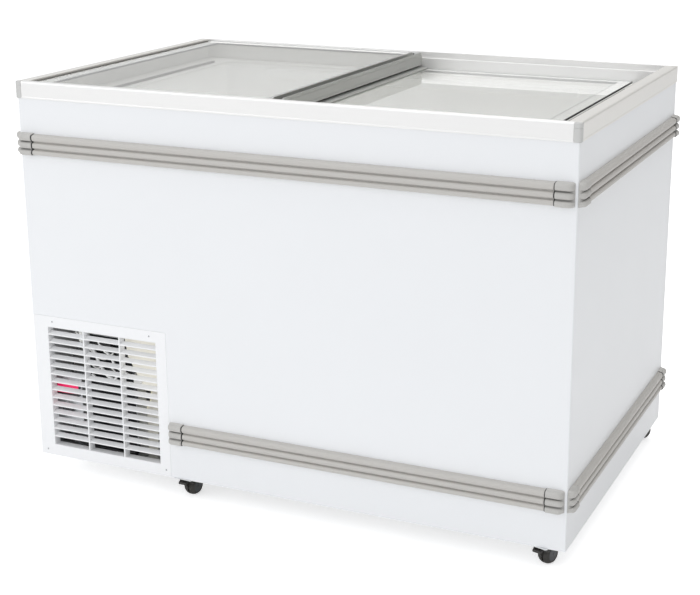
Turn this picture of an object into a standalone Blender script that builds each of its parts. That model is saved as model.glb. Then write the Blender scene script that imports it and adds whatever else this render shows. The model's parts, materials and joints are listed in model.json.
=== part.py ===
"""Ice cream dipping cabinet: a chest freezer on casters with two sliding glass lids.

Metres, +Z up. The cabinet stands on Z = 0, its front faces -Y, and the origin is under its middle.
"""

import math

import bmesh
import bpy
from mathutils import Matrix, Vector

# Cabinet body
BODY_WIDTH = 1.216
BODY_DEPTH = 0.760
FRAME_TOP = 0.886
BODY_BOTTOM = 0.050
BUMPER_PROUD = 0.015
FRAME_PROUD = 0.002
SHEET = 0.001
GAP = 0.0003
FOLD = 0.014

LEFT = -BODY_WIDTH / 2
RIGHT = BODY_WIDTH / 2
FRONT = (BUMPER_PROUD - FRAME_PROUD - BODY_DEPTH) / 2
BACK = FRONT + BODY_DEPTH

# Top frame, measured down from its top and in from the body's outer faces
SKIRT = 0.036
EXTRUSION_WALL = 0.0015
EDGE_RADIUS = 0.004
TRACK_FLANGE = 0.010
TRACK_FACE = 0.021
END_FLANGE = 0.0245
UPPER_TRACK = 0.0143
LOWER_TRACK = 0.0483
CAP_WIDTH = 0.0115
CAP_DEPTH = 0.010
CAP_PROUD = 0.003
PANEL_TOP = FRAME_TOP - 0.0105

# Collar, liner and well
COLLAR_THICKNESS = 0.004
COLLAR_TOP = FRAME_TOP - LOWER_TRACK
COLLAR_EDGE = 0.004
WELL_END = 0.108
WELL_SIDE = 0.055
COLLAR_LIP = 0.004
WELL_FLOOR = 0.115
HUMP_TOP = 0.440
HUMP_WIDTH = 0.400
LINER_WALL = 0.0012
LINER_RADIUS = 0.022
LINER_TOP = COLLAR_TOP - COLLAR_THICKNESS - GAP
STOP_RIB_INSET = 0.0935

# Lids
GLASS = 0.005
UPPER_GLASS_TOP = FRAME_TOP - 0.004
LOWER_GLASS_TOP = FRAME_TOP - 0.0375
UPPER_LID_START = LEFT + 0.030
UPPER_LID_STOP = LEFT + 0.612
LOWER_LID_START = LEFT + 0.586
LOWER_LID_STOP = LEFT + 1.122
UPPER_LID_INSET = 0.0115
LOWER_LID_INSET = 0.0225
HANDLE_WIDTH = 0.024
HANDLE_WALL = 0.002
HANDLE_DROP = 0.0295
HANDLE_LEDGE = 0.020

# Grille and machine compartment
GRILLE_WIDTH = 0.3365
GRILLE_TOP = 0.376
GRILLE_SHEET = 0.0015
FIELD_START = LEFT + 0.0385
FIELD_STOP = LEFT + 0.311
FIELD_TOP = 0.351
LOUVRE_PITCH = 0.0183
LOUVRE_ROWS = 15
FIELD_BOTTOM = FIELD_TOP - LOUVRE_PITCH * LOUVRE_ROWS
LOUVRE_DEPTH = 0.016
LOUVRE_RISE = 0.0045
FIELD_WALL_DEPTH = 0.0195
COMPARTMENT_WIDTH = 0.345
COMPARTMENT_TOP = 0.385
PAN_BOTTOM = 0.052
PAN_SHEET = 0.0015
PAN_LIP = 0.014
PAN_INSET = GRILLE_SHEET + GAP
DECK = PAN_BOTTOM + PAN_SHEET + GAP
FAN_CENTRE = Vector((LEFT + 0.167, FRONT + 0.100, 0.205))
FAN_OPENING = 0.074

# Bumper rails
UPPER_RAIL_HEIGHT = 0.754
LOWER_RAIL_HEIGHT = 0.154
RAIL_TALL = 0.045
RAIL_PROUD = 0.0125
RAIL_CAP_TALL = 0.048
RAIL_CAP_LONG = 0.035
RAIL_JOINT = 0.001
BUMPER_INSET = 0.001
FRONT_BUMPER_STOP = RIGHT - 0.0055

# Casters
WHEEL_RADIUS = 0.0215
WHEEL_WIDTH = 0.022
WHEEL_CLEARANCE = 0.0015
CASTER_TRAIL = 0.018
CASTER_INSET = 0.025
HOOD_WIDTH = 0.030
HOOD_TOP = 0.0465
HOOD_BACK = 0.0125
NECK_RADIUS = 0.0115
LEVER_LENGTH = 0.0118
LEVER_WIDTH = 0.028
LEVER_BOTTOM = 0.0365
LEVER_TOP = 0.0440
PLATE_BOTTOM = 0.0493
PLATE_LONG = 0.052
PLATE_DEEP = 0.046
AXLE_RADIUS = 0.003

parts = bpy.data.collections.new("ice_cream_dipping_cabinet")
cutters = bpy.data.collections.new("cutters")
materials = {}


def clear_scene():
    for item in list(bpy.data.objects):
        bpy.data.objects.remove(item, do_unlink=True)
    bpy.context.scene.collection.children.link(parts)
    bpy.context.scene.collection.children.link(cutters)


def material(name, colour, roughness, metallic=0.0):
    made = bpy.data.materials.new(name)
    made.use_nodes = True
    shader = made.node_tree.nodes["Principled BSDF"]
    shader.inputs["Base Color"].default_value = (*colour, 1.0)
    shader.inputs["Roughness"].default_value = roughness
    shader.inputs["Metallic"].default_value = metallic
    materials[name] = made


def make_materials():
    material("white_sheet", (0.84, 0.86, 0.90), 0.35)
    material("grille_white", (0.88, 0.88, 0.89), 0.40)
    material("liner_white", (0.88, 0.89, 0.90), 0.30)
    material("galvanised", (0.55, 0.56, 0.57), 0.45, 0.9)
    material("frame_aluminium", (0.82, 0.81, 0.79), 0.35, 0.9)
    material("handle_aluminium", (0.52, 0.53, 0.51), 0.38, 0.9)
    material("cap_plastic", (0.72, 0.72, 0.71), 0.45)
    material("collar_plastic", (0.33, 0.32, 0.31), 0.55)
    material("border_plastic", (0.80, 0.80, 0.77), 0.45)
    material("lid_glass", (0.80, 0.86, 0.85), 0.03)
    material("black_rubber", (0.03, 0.03, 0.03), 0.75)
    material("bumper_grey", (0.47, 0.45, 0.42), 0.50)
    material("caster_black", (0.025, 0.025, 0.025), 0.45)
    material("zinc", (0.66, 0.67, 0.68), 0.35, 0.9)
    material("machine_black", (0.04, 0.04, 0.045), 0.45)
    material("shroud_cream", (0.80, 0.74, 0.58), 0.50)
    material("switch_red", (0.75, 0.03, 0.10), 0.30)


def add_mesh(name, shape, finish, location=(0, 0, 0)):
    """Turn a bmesh into a part with one material."""
    mesh = bpy.data.meshes.new(name)
    bmesh.ops.recalc_face_normals(shape, faces=shape.faces)
    shape.to_mesh(mesh)
    shape.free()
    mesh.materials.append(materials[finish])
    made = bpy.data.objects.new(name, mesh)
    made.location = location
    parts.objects.link(made)
    return made


def box(name, low, high, finish):
    """An upright box between two corners."""
    low = Vector(low)
    high = Vector(high)
    shape = bmesh.new()
    bmesh.ops.create_cube(shape, size=1.0)
    bmesh.ops.scale(shape, vec=high - low, verts=shape.verts)
    return add_mesh(name, shape, finish, (low + high) / 2)


def cylinder(name, centre, radius, length, axis, finish, segments=32):
    """A capped cylinder along X, Y or Z, round its centre."""
    turns = {
        "X": Matrix.Rotation(math.pi / 2, 3, "Y"),
        "Y": Matrix.Rotation(-math.pi / 2, 3, "X"),
        "Z": Matrix.Identity(3),
    }
    shape = bmesh.new()
    bmesh.ops.create_cone(
        shape, cap_ends=True, segments=segments, radius1=radius, radius2=radius, depth=length
    )
    bmesh.ops.rotate(shape, verts=shape.verts, matrix=turns[axis])
    made = add_mesh(name, shape, finish, centre)
    smooth(made)
    return made


def extrusion(name, outlines, axis, start, stop, finish):
    """Extrude flat outlines along an axis; an outline inside another is a hole.

    Along X the outline holds (y, z), along Y it holds (x, z), and along Z it holds (x, y).
    """
    turns = {
        "X": Matrix(((0, 0, 1), (1, 0, 0), (0, 1, 0))),
        "Y": Matrix(((1, 0, 0), (0, 0, -1), (0, 1, 0))),
        "Z": Matrix.Identity(3),
    }
    middle = {"X": Vector((1, 0, 0)), "Y": Vector((0, 1, 0)), "Z": Vector((0, 0, 1))}
    curve = bpy.data.curves.new(name, "CURVE")
    curve.dimensions = "2D"
    curve.fill_mode = "BOTH"
    curve.extrude = (stop - start) / 2
    for outline in outlines:
        spline = curve.splines.new("POLY")
        spline.points.add(len(outline) - 1)
        spline.use_cyclic_u = True
        for point, (across, up) in zip(spline.points, outline):
            point.co = (across, up, 0, 1)
    guide = bpy.data.objects.new(name + "_outline", curve)
    cutters.objects.link(guide)
    bpy.context.view_layer.update()
    depsgraph = bpy.context.evaluated_depsgraph_get()
    flat = bpy.data.meshes.new_from_object(guide.evaluated_get(depsgraph))
    shape = bmesh.new()
    shape.from_mesh(flat)
    bmesh.ops.remove_doubles(shape, verts=shape.verts, dist=0.00001)
    bmesh.ops.rotate(shape, verts=shape.verts, matrix=turns[axis])
    bpy.data.meshes.remove(flat)
    bpy.data.objects.remove(guide, do_unlink=True)
    return add_mesh(name, shape, finish, middle[axis] * (start + stop) / 2)


def arc(centre, radius, first, last, steps):
    """Points on a circle from one angle to another, in degrees."""
    points = []
    for step in range(steps + 1):
        angle = math.radians(first + (last - first) * step / steps)
        points.append((centre[0] + radius * math.cos(angle), centre[1] + radius * math.sin(angle)))
    return points


def rounded_rectangle(low, high, radius, steps=3):
    """A rectangle with round corners, anticlockwise."""
    points = arc((high[0] - radius, high[1] - radius), radius, 0, 90, steps)
    points += arc((low[0] + radius, high[1] - radius), radius, 90, 180, steps)
    points += arc((low[0] + radius, low[1] + radius), radius, 180, 270, steps)
    points += arc((high[0] - radius, low[1] + radius), radius, 270, 360, steps)
    return points


def rectangle(low, high):
    return [(low[0], low[1]), (high[0], low[1]), (high[0], high[1]), (low[0], high[1])]


def smooth(made, angle=35):
    made.data.shade_smooth()
    made.data.set_sharp_from_angle(angle=math.radians(angle))


def bevel(made, width, segments=2):
    """Round every edge that is sharper than a soft curve."""
    rounding = made.modifiers.new("round_edges", "BEVEL")
    rounding.width = width
    rounding.segments = segments
    rounding.limit_method = "ANGLE"
    rounding.angle_limit = math.radians(40)


def set_aside(made):
    """Keep a cutter or a joined shape as a wire guide only."""
    parts.objects.unlink(made)
    cutters.objects.link(made)
    made.hide_render = True
    made.display_type = "WIRE"


def combine(target, tools, operation):
    for tool in tools:
        change = target.modifiers.new(tool.name, "BOOLEAN")
        change.operation = operation
        change.solver = "EXACT"
        change.object = tool
        set_aside(tool)


def cut(target, *tools):
    combine(target, tools, "DIFFERENCE")


def join(target, *tools):
    combine(target, tools, "UNION")


def keep_inside(target, *tools):
    combine(target, tools, "INTERSECT")


def empty(name, location):
    """A pivot that a moving piece turns about."""
    pivot = bpy.data.objects.new(name, None)
    pivot.location = location
    parts.objects.link(pivot)
    return pivot


def hang_on(pivot, *pieces):
    """Parent pieces to a pivot without moving them."""
    bpy.context.view_layer.update()
    for piece in pieces:
        piece.parent = pivot
        piece.matrix_parent_inverse = pivot.matrix_world.inverted()


# Shell

def folded_sheet(name, face, inward, thickness, bottom, top, first=LEFT, last=RIGHT, fold_last=True):
    """A front or back sheet, folded round the body's corners; inward is +1 at the front, -1 at the back."""
    radius = 0.003
    fold = face + inward * FOLD
    quarter = arc((first + radius, 0), radius, 180, 270, 3)
    outer = [(first, fold)]
    outer += [(x, face + inward * (radius + y)) for x, y in quarter]
    inner = [(first + thickness, face + inward * thickness), (first + thickness, fold)]
    if fold_last:
        quarter = arc((last - radius, 0), radius, 270, 360, 3)
        outer += [(x, face + inward * (radius + y)) for x, y in quarter]
        outer += [(last, fold), (last - thickness, fold)]
        inner = [(last - thickness, face + inward * thickness)] + inner
    else:
        outer += [(last, face)]
        inner = [(last, face + inward * thickness)] + inner
    return extrusion(name, [outer + inner], "Z", bottom, top, "white_sheet")


def make_front_panel():
    panel = folded_sheet("front_panel", FRONT, 1, SHEET, BODY_BOTTOM, PANEL_TOP)
    notch = box(
        "front_panel_notch",
        (LEFT - 0.01, FRONT - 0.01, 0),
        (LEFT + GRILLE_WIDTH + GAP, FRONT + FOLD + 0.01, GRILLE_TOP + GAP),
        "white_sheet",
    )
    cut(panel, notch)


def make_back_panel():
    panel = folded_sheet("back_panel", BACK, -1, SHEET, BODY_BOTTOM, PANEL_TOP)
    for number in range(9):
        height = 0.130 + 0.024 * number
        slot = extrusion(
            f"vent_slot_{number}",
            [rounded_rectangle((LEFT + 0.050, height), (LEFT + 0.290, height + 0.008), 0.0038, 2)],
            "Y", BACK - 0.01, BACK + 0.01, "white_sheet",
        )
        cut(panel, slot)
    cut(panel, cylinder("inlet_hole", (LEFT + 0.060, BACK, 0.095), 0.0105, 0.02, "Y", "white_sheet", 20))


def make_side_panels():
    for name, outer, inward in (("left_side_panel", LEFT, 1), ("right_side_panel", RIGHT, -1)):
        inner = outer + inward * SHEET
        box(
            name,
            (min(outer, inner), FRONT + FOLD + GAP, BODY_BOTTOM),
            (max(outer, inner), BACK - FOLD - GAP, PANEL_TOP),
            "white_sheet",
        )


def make_base_pan():
    low = Vector((LEFT + PAN_INSET, FRONT + PAN_INSET, PAN_BOTTOM))
    high = Vector((RIGHT - PAN_INSET, BACK - PAN_INSET, PAN_BOTTOM + PAN_LIP))
    pan = box("base_pan", low, high, "galvanised")
    wall = Vector((PAN_SHEET, PAN_SHEET, 0))
    hollow = box(
        "base_pan_hollow",
        low + wall + Vector((0, 0, PAN_SHEET)),
        high - wall + Vector((0, 0, 0.01)),
        "galvanised",
    )
    cut(pan, hollow)


def well_section(grow, top):
    """The well seen from the front: a box with a raised step over the machine compartment."""
    left = LEFT + WELL_END - grow
    right = RIGHT - WELL_END + grow
    step = LEFT + HUMP_WIDTH - grow
    floor = WELL_FLOOR - grow
    hump = HUMP_TOP - grow
    return [(left, hump), (step, hump), (step, floor), (right, floor), (right, top), (left, top)]


def well_solid(name, grow, top, finish):
    near = FRONT + WELL_SIDE - grow
    far = BACK - WELL_SIDE + grow
    return extrusion(name, [well_section(grow, top)], "Y", near, far, finish)


def make_liner():
    liner = well_solid("inner_liner", LINER_WALL, LINER_TOP, "liner_white")
    flange_low = (LEFT + WELL_END - 0.012, FRONT + WELL_SIDE - 0.012)
    flange_high = (RIGHT - WELL_END + 0.012, BACK - WELL_SIDE + 0.012)
    flange = rectangle(flange_low, flange_high)
    rim = extrusion("liner_rim", [flange], "Z", LINER_TOP - LINER_WALL, LINER_TOP, "liner_white")
    join(liner, rim)
    cavity = well_solid("liner_cavity", 0, LINER_TOP + 0.05, "liner_white")
    bevel(cavity, LINER_RADIUS, 3)
    cut(liner, cavity)
    rib_outline = rounded_rectangle((LEFT + 0.206, 0.800), (RIGHT - 0.206, 0.826), 0.0128, 4)
    wall = BACK - WELL_SIDE
    join(liner, extrusion("back_rib", [rib_outline], "Y", wall - 0.003, wall + 0.0006, "liner_white"))
    wall = FRONT + WELL_SIDE
    join(liner, extrusion("front_rib", [rib_outline], "Y", wall - 0.0006, wall + 0.003, "liner_white"))
    smooth(liner)


def make_bulkhead():
    """The bent sheet that walls the machine compartment off from the insulated space."""
    inset = PAN_INSET + PAN_SHEET + GAP
    left = LEFT + inset
    right = LEFT + COMPARTMENT_WIDTH
    top = COMPARTMENT_TOP
    outline = [
        (left, top),
        (right, top),
        (right, DECK),
        (right + SHEET, DECK),
        (right + SHEET, top + SHEET),
        (left, top + SHEET),
    ]
    extrusion("machine_bulkhead", [outline], "Y", FRONT + inset, BACK - inset, "galvanised")


def make_collar():
    """The ring that closes the gap between the shell and the liner; the lower lid slides on it."""
    outer = rectangle((LEFT + COLLAR_EDGE, FRONT + COLLAR_EDGE), (RIGHT - COLLAR_EDGE, BACK - COLLAR_EDGE))
    inner = rounded_rectangle(
        (LEFT + WELL_END + COLLAR_LIP, FRONT + WELL_SIDE + COLLAR_LIP),
        (RIGHT - WELL_END - COLLAR_LIP, BACK - WELL_SIDE - COLLAR_LIP),
        0.020,
    )
    collar = extrusion(
        "breaker_collar", [outer, inner], "Z", COLLAR_TOP - COLLAR_THICKNESS, COLLAR_TOP, "collar_plastic"
    )
    for name, inner_face, outer_face in (
        ("left_stop_rib", LEFT + STOP_RIB_INSET, LEFT + STOP_RIB_INSET - 0.004),
        ("right_stop_rib", RIGHT - STOP_RIB_INSET, RIGHT - STOP_RIB_INSET + 0.004),
    ):
        rib = box(
            name,
            (min(inner_face, outer_face), FRONT + 0.10, COLLAR_TOP - 0.001),
            (max(inner_face, outer_face), BACK - 0.10, COLLAR_TOP + 0.006),
            "collar_plastic",
        )
        join(collar, rib)


# Top frame

def outer_edge():
    """The frame's skirt and its round top edge, as (inward, height over the frame's top)."""
    quarter = arc((EDGE_RADIUS - FRAME_PROUD, -EDGE_RADIUS), EDGE_RADIUS, 180, 90, 4)
    return [(-FRAME_PROUD, -SKIRT)] + quarter


def track_profile():
    """A long member: skirt, top flange, upper track and the face beside the lower lid."""
    wall = EXTRUSION_WALL
    return outer_edge() + [
        (TRACK_FLANGE, 0),
        (TRACK_FLANGE, -UPPER_TRACK),
        (TRACK_FACE, -UPPER_TRACK),
        (TRACK_FACE, GAP - LOWER_TRACK),
        (TRACK_FACE - wall, GAP - LOWER_TRACK),
        (TRACK_FACE - wall, -UPPER_TRACK - wall),
        (TRACK_FLANGE - wall, -UPPER_TRACK - wall),
        (TRACK_FLANGE - wall, -wall),
        (-GAP, -wall),
        (-GAP, -SKIRT),
    ]


def end_profile():
    """An end member: skirt, wide top flange and inner wall."""
    wall = EXTRUSION_WALL
    return outer_edge() + [
        (END_FLANGE, 0),
        (END_FLANGE, GAP - LOWER_TRACK),
        (END_FLANGE - wall, GAP - LOWER_TRACK),
        (END_FLANGE - wall, -wall),
        (-GAP, -wall),
        (-GAP, -SKIRT),
    ]


def shape_ends(member, axis, half_length, end_of):
    """Slide each end vertex along the member to where its part of the profile stops."""
    for vertex in member.data.vertices:
        side = 1 if vertex.co[axis] > 0 else -1
        vertex.co[axis] = side * (half_length - end_of(vertex.co))


def make_long_member(name, face, inward):
    outline = [(face + inward * depth, FRAME_TOP + height) for depth, height in track_profile()]
    member = extrusion(name, [outline], "X", LEFT, RIGHT, "frame_aluminium")

    def end_of(point):
        depth = inward * (point[1] - face)
        in_flange = depth < TRACK_FLANGE + 0.0001 and point[2] > FRAME_TOP - UPPER_TRACK / 2
        in_skirt = depth < 0
        return CAP_WIDTH + GAP if in_flange or in_skirt else END_FLANGE + GAP

    shape_ends(member, 0, BODY_WIDTH / 2, end_of)
    return member


def make_end_member(name, face, inward):
    outline = [(face + inward * depth, FRAME_TOP + height) for depth, height in end_profile()]
    member = extrusion(name, [outline], "Y", FRONT, BACK, "frame_aluminium")
    shape_ends(member, 1, BODY_DEPTH / 2, lambda point: CAP_DEPTH + GAP)
    return member


def corner_block(name, side, depth_side, finish, overlap=0.0):
    """A round-edged block over one top corner, hollow below where the panels stand."""
    corner = Vector((LEFT if side < 0 else RIGHT, FRONT if depth_side < 0 else BACK, FRAME_TOP))
    proud = CAP_PROUD if depth_side < 0 else FRAME_PROUD
    low = Vector((-CAP_WIDTH - overlap, -CAP_DEPTH, -SKIRT))
    high = Vector((proud, proud, -GAP))
    outline = [(low.x, low.y), (high.x, low.y)]
    outline += arc((high.x - 0.005, high.y - 0.005), 0.005, 0, 90, 4)
    outline += [(low.x, high.y)]
    outline = [(corner.x + side * x, corner.y + depth_side * y) for x, y in outline]
    block = extrusion(name, [outline], "Z", FRAME_TOP + low.z, FRAME_TOP + high.z, finish)
    edge_x = corner.x + side * GAP
    edge_y = corner.y + depth_side * GAP
    far_x = corner.x - side * 0.03
    far_y = corner.y - depth_side * 0.03
    hollow = box(
        name + "_hollow",
        (min(edge_x, far_x), min(edge_y, far_y), FRAME_TOP - SKIRT - 0.01),
        (max(edge_x, far_x), max(edge_y, far_y), PANEL_TOP + GAP),
        finish,
    )
    cut(block, hollow)
    return block


def make_top_frame():
    make_long_member("frame_front", FRONT, 1)
    back = make_long_member("frame_back", BACK, -1)
    make_end_member("frame_left", LEFT, 1)
    make_end_member("frame_right", RIGHT, -1)
    for side in (-1, 1):
        hand = "left" if side < 0 else "right"
        corner_block(f"corner_cap_{hand}", side, -1, "cap_plastic")
        join(back, corner_block(f"back_corner_{hand}", side, 1, "frame_aluminium", 0.002))


# Lids

def lid_border(name, start, stop, inset, top, bottom, end_width, open_at_start):
    """A border along three edges of a lid, open at the end where the lids meet."""
    near = FRONT + inset
    far = BACK - inset
    side_width = 0.018
    if open_at_start:
        outline = [(start, near), (stop, near), (stop, far), (start, far), (start, far - side_width)]
        outline += [(stop - end_width, far - side_width), (stop - end_width, near + side_width)]
        outline += [(start, near + side_width)]
    else:
        outline = [(stop, near), (start, near), (start, far), (stop, far), (stop, far - side_width)]
        outline += [(start + end_width, far - side_width), (start + end_width, near + side_width)]
        outline += [(stop, near + side_width)]
    return extrusion(name, [outline], "Z", bottom, top, "border_plastic")


def make_handle():
    """A channel open at the top, deep enough for fingers, that also carries the glass's inner edge."""
    right = UPPER_LID_STOP
    left = right - HANDLE_WIDTH
    top = FRAME_TOP
    bottom = FRAME_TOP - HANDLE_DROP
    ledge_top = UPPER_GLASS_TOP - GLASS - GAP
    ledge_bottom = ledge_top - HANDLE_WALL
    outline = [
        (left, top),
        (left, ledge_top),
        (left - HANDLE_LEDGE, ledge_top),
        (left - HANDLE_LEDGE, ledge_bottom),
        (left, ledge_bottom),
        (left, bottom),
        (right, bottom),
        (right, top),
        (right - HANDLE_WALL, top),
        (right - HANDLE_WALL, bottom + HANDLE_WALL),
        (left + HANDLE_WALL, bottom + HANDLE_WALL),
        (left + HANDLE_WALL, top),
    ]
    near = FRONT + LOWER_LID_INSET
    far = BACK - LOWER_LID_INSET
    handle = extrusion("upper_lid_handle", [outline], "Y", near, far, "handle_aluminium")
    envelope = rectangle((near, bottom - 0.01), (far, top))[:2]
    envelope += arc((far - 0.008, top - 0.008), 0.008, 0, 90, 4)
    envelope += arc((near + 0.008, top - 0.008), 0.008, 90, 180, 4)
    limits = extrusion(
        "handle_envelope", [envelope], "X", left - HANDLE_LEDGE - 0.01, right + 0.01, "handle_aluminium"
    )
    keep_inside(handle, limits)
    middle = (left + right) / 2
    box(
        "lid_wiper_seal",
        (middle - 0.006, near, bottom - 0.004),
        (middle + 0.006, far, bottom - GAP),
        "black_rubber",
    )


def make_upper_lid():
    handle_face = UPPER_LID_STOP - HANDLE_WIDTH
    box(
        "upper_lid_glass",
        (UPPER_LID_START, FRONT + UPPER_LID_INSET, UPPER_GLASS_TOP - GLASS),
        (handle_face - GAP, BACK - UPPER_LID_INSET, UPPER_GLASS_TOP),
        "lid_glass",
    )
    lid_border(
        "upper_lid_border",
        UPPER_LID_START,
        handle_face - HANDLE_LEDGE - GAP,
        UPPER_LID_INSET,
        UPPER_GLASS_TOP - GLASS - GAP,
        FRAME_TOP - UPPER_TRACK + GAP,
        0.030,
        False,
    )
    make_handle()


def make_lower_lid():
    web = 0.0035
    profile_width = 0.040
    leg = 0.0027
    glass_bottom = LOWER_GLASS_TOP - GLASS
    box(
        "lower_lid_glass",
        (LOWER_LID_START + web + GAP, FRONT + LOWER_LID_INSET, glass_bottom),
        (LOWER_LID_STOP, BACK - LOWER_LID_INSET, LOWER_GLASS_TOP),
        "lid_glass",
    )
    lid_border(
        "lower_lid_border",
        LOWER_LID_START + profile_width + GAP,
        LOWER_LID_STOP,
        LOWER_LID_INSET,
        glass_bottom - GAP,
        COLLAR_TOP + GAP,
        0.028,
        True,
    )
    start = LOWER_LID_START
    stop = LOWER_LID_START + profile_width
    top = LOWER_GLASS_TOP + GAP + leg
    groove = 0.0012
    outline = [
        (start, top),
        (start, glass_bottom - GAP - leg),
        (stop, glass_bottom - GAP - leg),
        (stop, glass_bottom - GAP),
        (start + web, glass_bottom - GAP),
        (start + web, LOWER_GLASS_TOP + GAP),
        (stop, LOWER_GLASS_TOP + GAP),
        (stop, top - groove),
        (stop - 0.004, top),
        (stop - 0.005, top),
        (stop - 0.005, top - groove),
        (stop - 0.008, top - groove),
        (stop - 0.008, top),
    ]
    near = FRONT + LOWER_LID_INSET
    far = BACK - LOWER_LID_INSET
    extrusion("lower_lid_inner_profile", [outline], "Y", near, far, "handle_aluminium")


# Bumpers

def lobed_outline(tall, proud, notch):
    """A rail's section: a flat back and three round lobes, as (outward, height from its middle)."""
    lobe = tall / 3
    base = proud - notch
    points = [(0, -tall / 2)]
    for number in range(3):
        centre = -tall / 2 + lobe * (number + 0.5)
        for outward, rise in arc((0, 0), 1.0, -78, 78, 6):
            points.append((base + notch * outward, centre + lobe / 2 * rise))
    points.append((0, tall / 2))
    return points


def bumper_piece(name, side, start, stop, height, tall, proud, notch):
    """One straight bumper piece on the front, left or right face."""
    section = lobed_outline(tall, proud, notch)
    if side == "front":
        outline = [(FRONT - GAP - outward, height + rise) for outward, rise in section]
        return extrusion(name, [outline], "X", start, stop, "bumper_grey")
    if side == "left":
        outline = [(LEFT - GAP - outward, height + rise) for outward, rise in section]
    else:
        outline = [(RIGHT + GAP + outward, height + rise) for outward, rise in section]
    return extrusion(name, [outline], "Y", start, stop, "bumper_grey")


def make_bumper(name, side, start, stop, height, cap_names):
    """A rail between two end caps."""
    rail_start = start + RAIL_CAP_LONG + RAIL_JOINT
    rail_stop = stop - RAIL_CAP_LONG - RAIL_JOINT
    rail = bumper_piece(name + "_rail", side, rail_start, rail_stop, height, RAIL_TALL, RAIL_PROUD, 0.004)
    smooth(rail, 50)
    ends = ((start, start + RAIL_CAP_LONG), (stop - RAIL_CAP_LONG, stop))
    for cap_name, (cap_start, cap_stop) in zip(cap_names, ends):
        proud = BUMPER_PROUD - GAP
        cap = bumper_piece(
            f"{name}_cap_{cap_name}", side, cap_start, cap_stop, height, RAIL_CAP_TALL, proud, 0.005
        )
        bevel(cap, 0.0022, 2)
        smooth(cap, 50)


def make_bumpers():
    front_span = (LEFT + BUMPER_INSET, FRONT_BUMPER_STOP)
    side_span = (FRONT + BUMPER_INSET, BACK - BUMPER_INSET)
    make_bumper("upper_front_bumper", "front", *front_span, UPPER_RAIL_HEIGHT, ("left", "right"))
    make_bumper("upper_left_bumper", "left", *side_span, UPPER_RAIL_HEIGHT, ("front", "back"))
    make_bumper("upper_right_bumper", "right", *side_span, UPPER_RAIL_HEIGHT, ("front", "back"))
    lower_span = (LEFT + GRILLE_WIDTH + BUMPER_INSET, FRONT_BUMPER_STOP)
    make_bumper("lower_front_bumper", "front", *lower_span, LOWER_RAIL_HEIGHT, ("left", "right"))
    make_bumper("lower_right_bumper", "right", *side_span, LOWER_RAIL_HEIGHT, ("front", "back"))


# Grille

def louvre_outline(height):
    """A slat's section, (y, z): an upright lip at the front and a blade that rises inward."""
    front = FRONT + 0.0005
    return [
        (front, height),
        (front + 0.0012, height),
        (front + 0.0012, height + 0.0010),
        (front + LOUVRE_DEPTH, height + LOUVRE_RISE + 0.0010),
        (front + LOUVRE_DEPTH, height + LOUVRE_RISE + 0.0022),
        (front, height + 0.0022),
    ]


def make_grille():
    wall = 0.0015
    grille = folded_sheet(
        "louvred_grille", FRONT, 1, GRILLE_SHEET, BODY_BOTTOM, GRILLE_TOP, LEFT, LEFT + GRILLE_WIDTH, False
    )
    grille.data.materials[0] = materials["grille_white"]
    opening = box(
        "grille_opening",
        (FIELD_START, FRONT - 0.01, FIELD_BOTTOM),
        (FIELD_STOP, FRONT + 0.01, FIELD_TOP),
        "grille_white",
    )
    cut(grille, opening)
    outer = rectangle((FIELD_START - wall, FIELD_BOTTOM - wall), (FIELD_STOP + wall, FIELD_TOP + wall))
    inner = rectangle((FIELD_START, FIELD_BOTTOM), (FIELD_STOP, FIELD_TOP))
    back = FRONT + FIELD_WALL_DEPTH
    join(grille, extrusion("grille_walls", [outer, inner], "Y", FRONT + 0.0007, back, "grille_white"))
    third = (FIELD_STOP - FIELD_START) / 3
    for number in (1, 2):
        middle = FIELD_START + third * number
        bar = box(
            f"grille_bar_{number}",
            (middle - 0.0015, FRONT + 0.0002, FIELD_BOTTOM - wall / 2),
            (middle + 0.0015, back - 0.0005, FIELD_TOP + wall / 2),
            "grille_white",
        )
        join(grille, bar)
    for number in range(1, LOUVRE_ROWS):
        outline = louvre_outline(FIELD_TOP - LOUVRE_PITCH * number)
        start = FIELD_START - wall / 2
        stop = FIELD_STOP + wall / 2
        join(grille, extrusion(f"grille_slat_{number}", [outline], "X", start, stop, "grille_white"))


# Machine compartment

def turned(name, profile, centre, finish, steps=32):
    """Turn an (outward, height) profile, listed from the top down, round a vertical axis."""
    shape = bmesh.new()
    vertices = [shape.verts.new((outward, 0, height)) for outward, height in profile]
    for first, second in zip(vertices, vertices[1:]):
        shape.edges.new((first, second))
    mesh = bpy.data.meshes.new(name)
    shape.to_mesh(mesh)
    shape.free()
    mesh.materials.append(materials[finish])
    made = bpy.data.objects.new(name, mesh)
    made.location = centre
    parts.objects.link(made)
    turn = made.modifiers.new("turn", "SCREW")
    turn.steps = steps
    turn.render_steps = steps
    turn.use_merge_vertices = True
    turn.merge_threshold = 0.00001
    return made


def make_compressor():
    x = LEFT + 0.165
    y = BACK - 0.190
    profile = arc((0.035, 0.198), 0.038, 90, 0, 5)
    profile = [(0.0, 0.236)] + profile
    profile += [(0.074, 0.152), (0.080, 0.151), (0.080, 0.147), (0.074, 0.146), (0.074, 0.088)]
    profile += arc((0.050, 0.084), 0.024, 0, -90, 3)
    profile += [(0.0, 0.060)]
    can = turned("compressor", profile, (x, y, 0), "machine_black", 28)
    foot_low = (x - 0.085, y - 0.062, DECK)
    foot_high = (x + 0.085, y + 0.062, 0.062)
    join(can, box("compressor_foot", foot_low, foot_high, "machine_black"))


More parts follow.
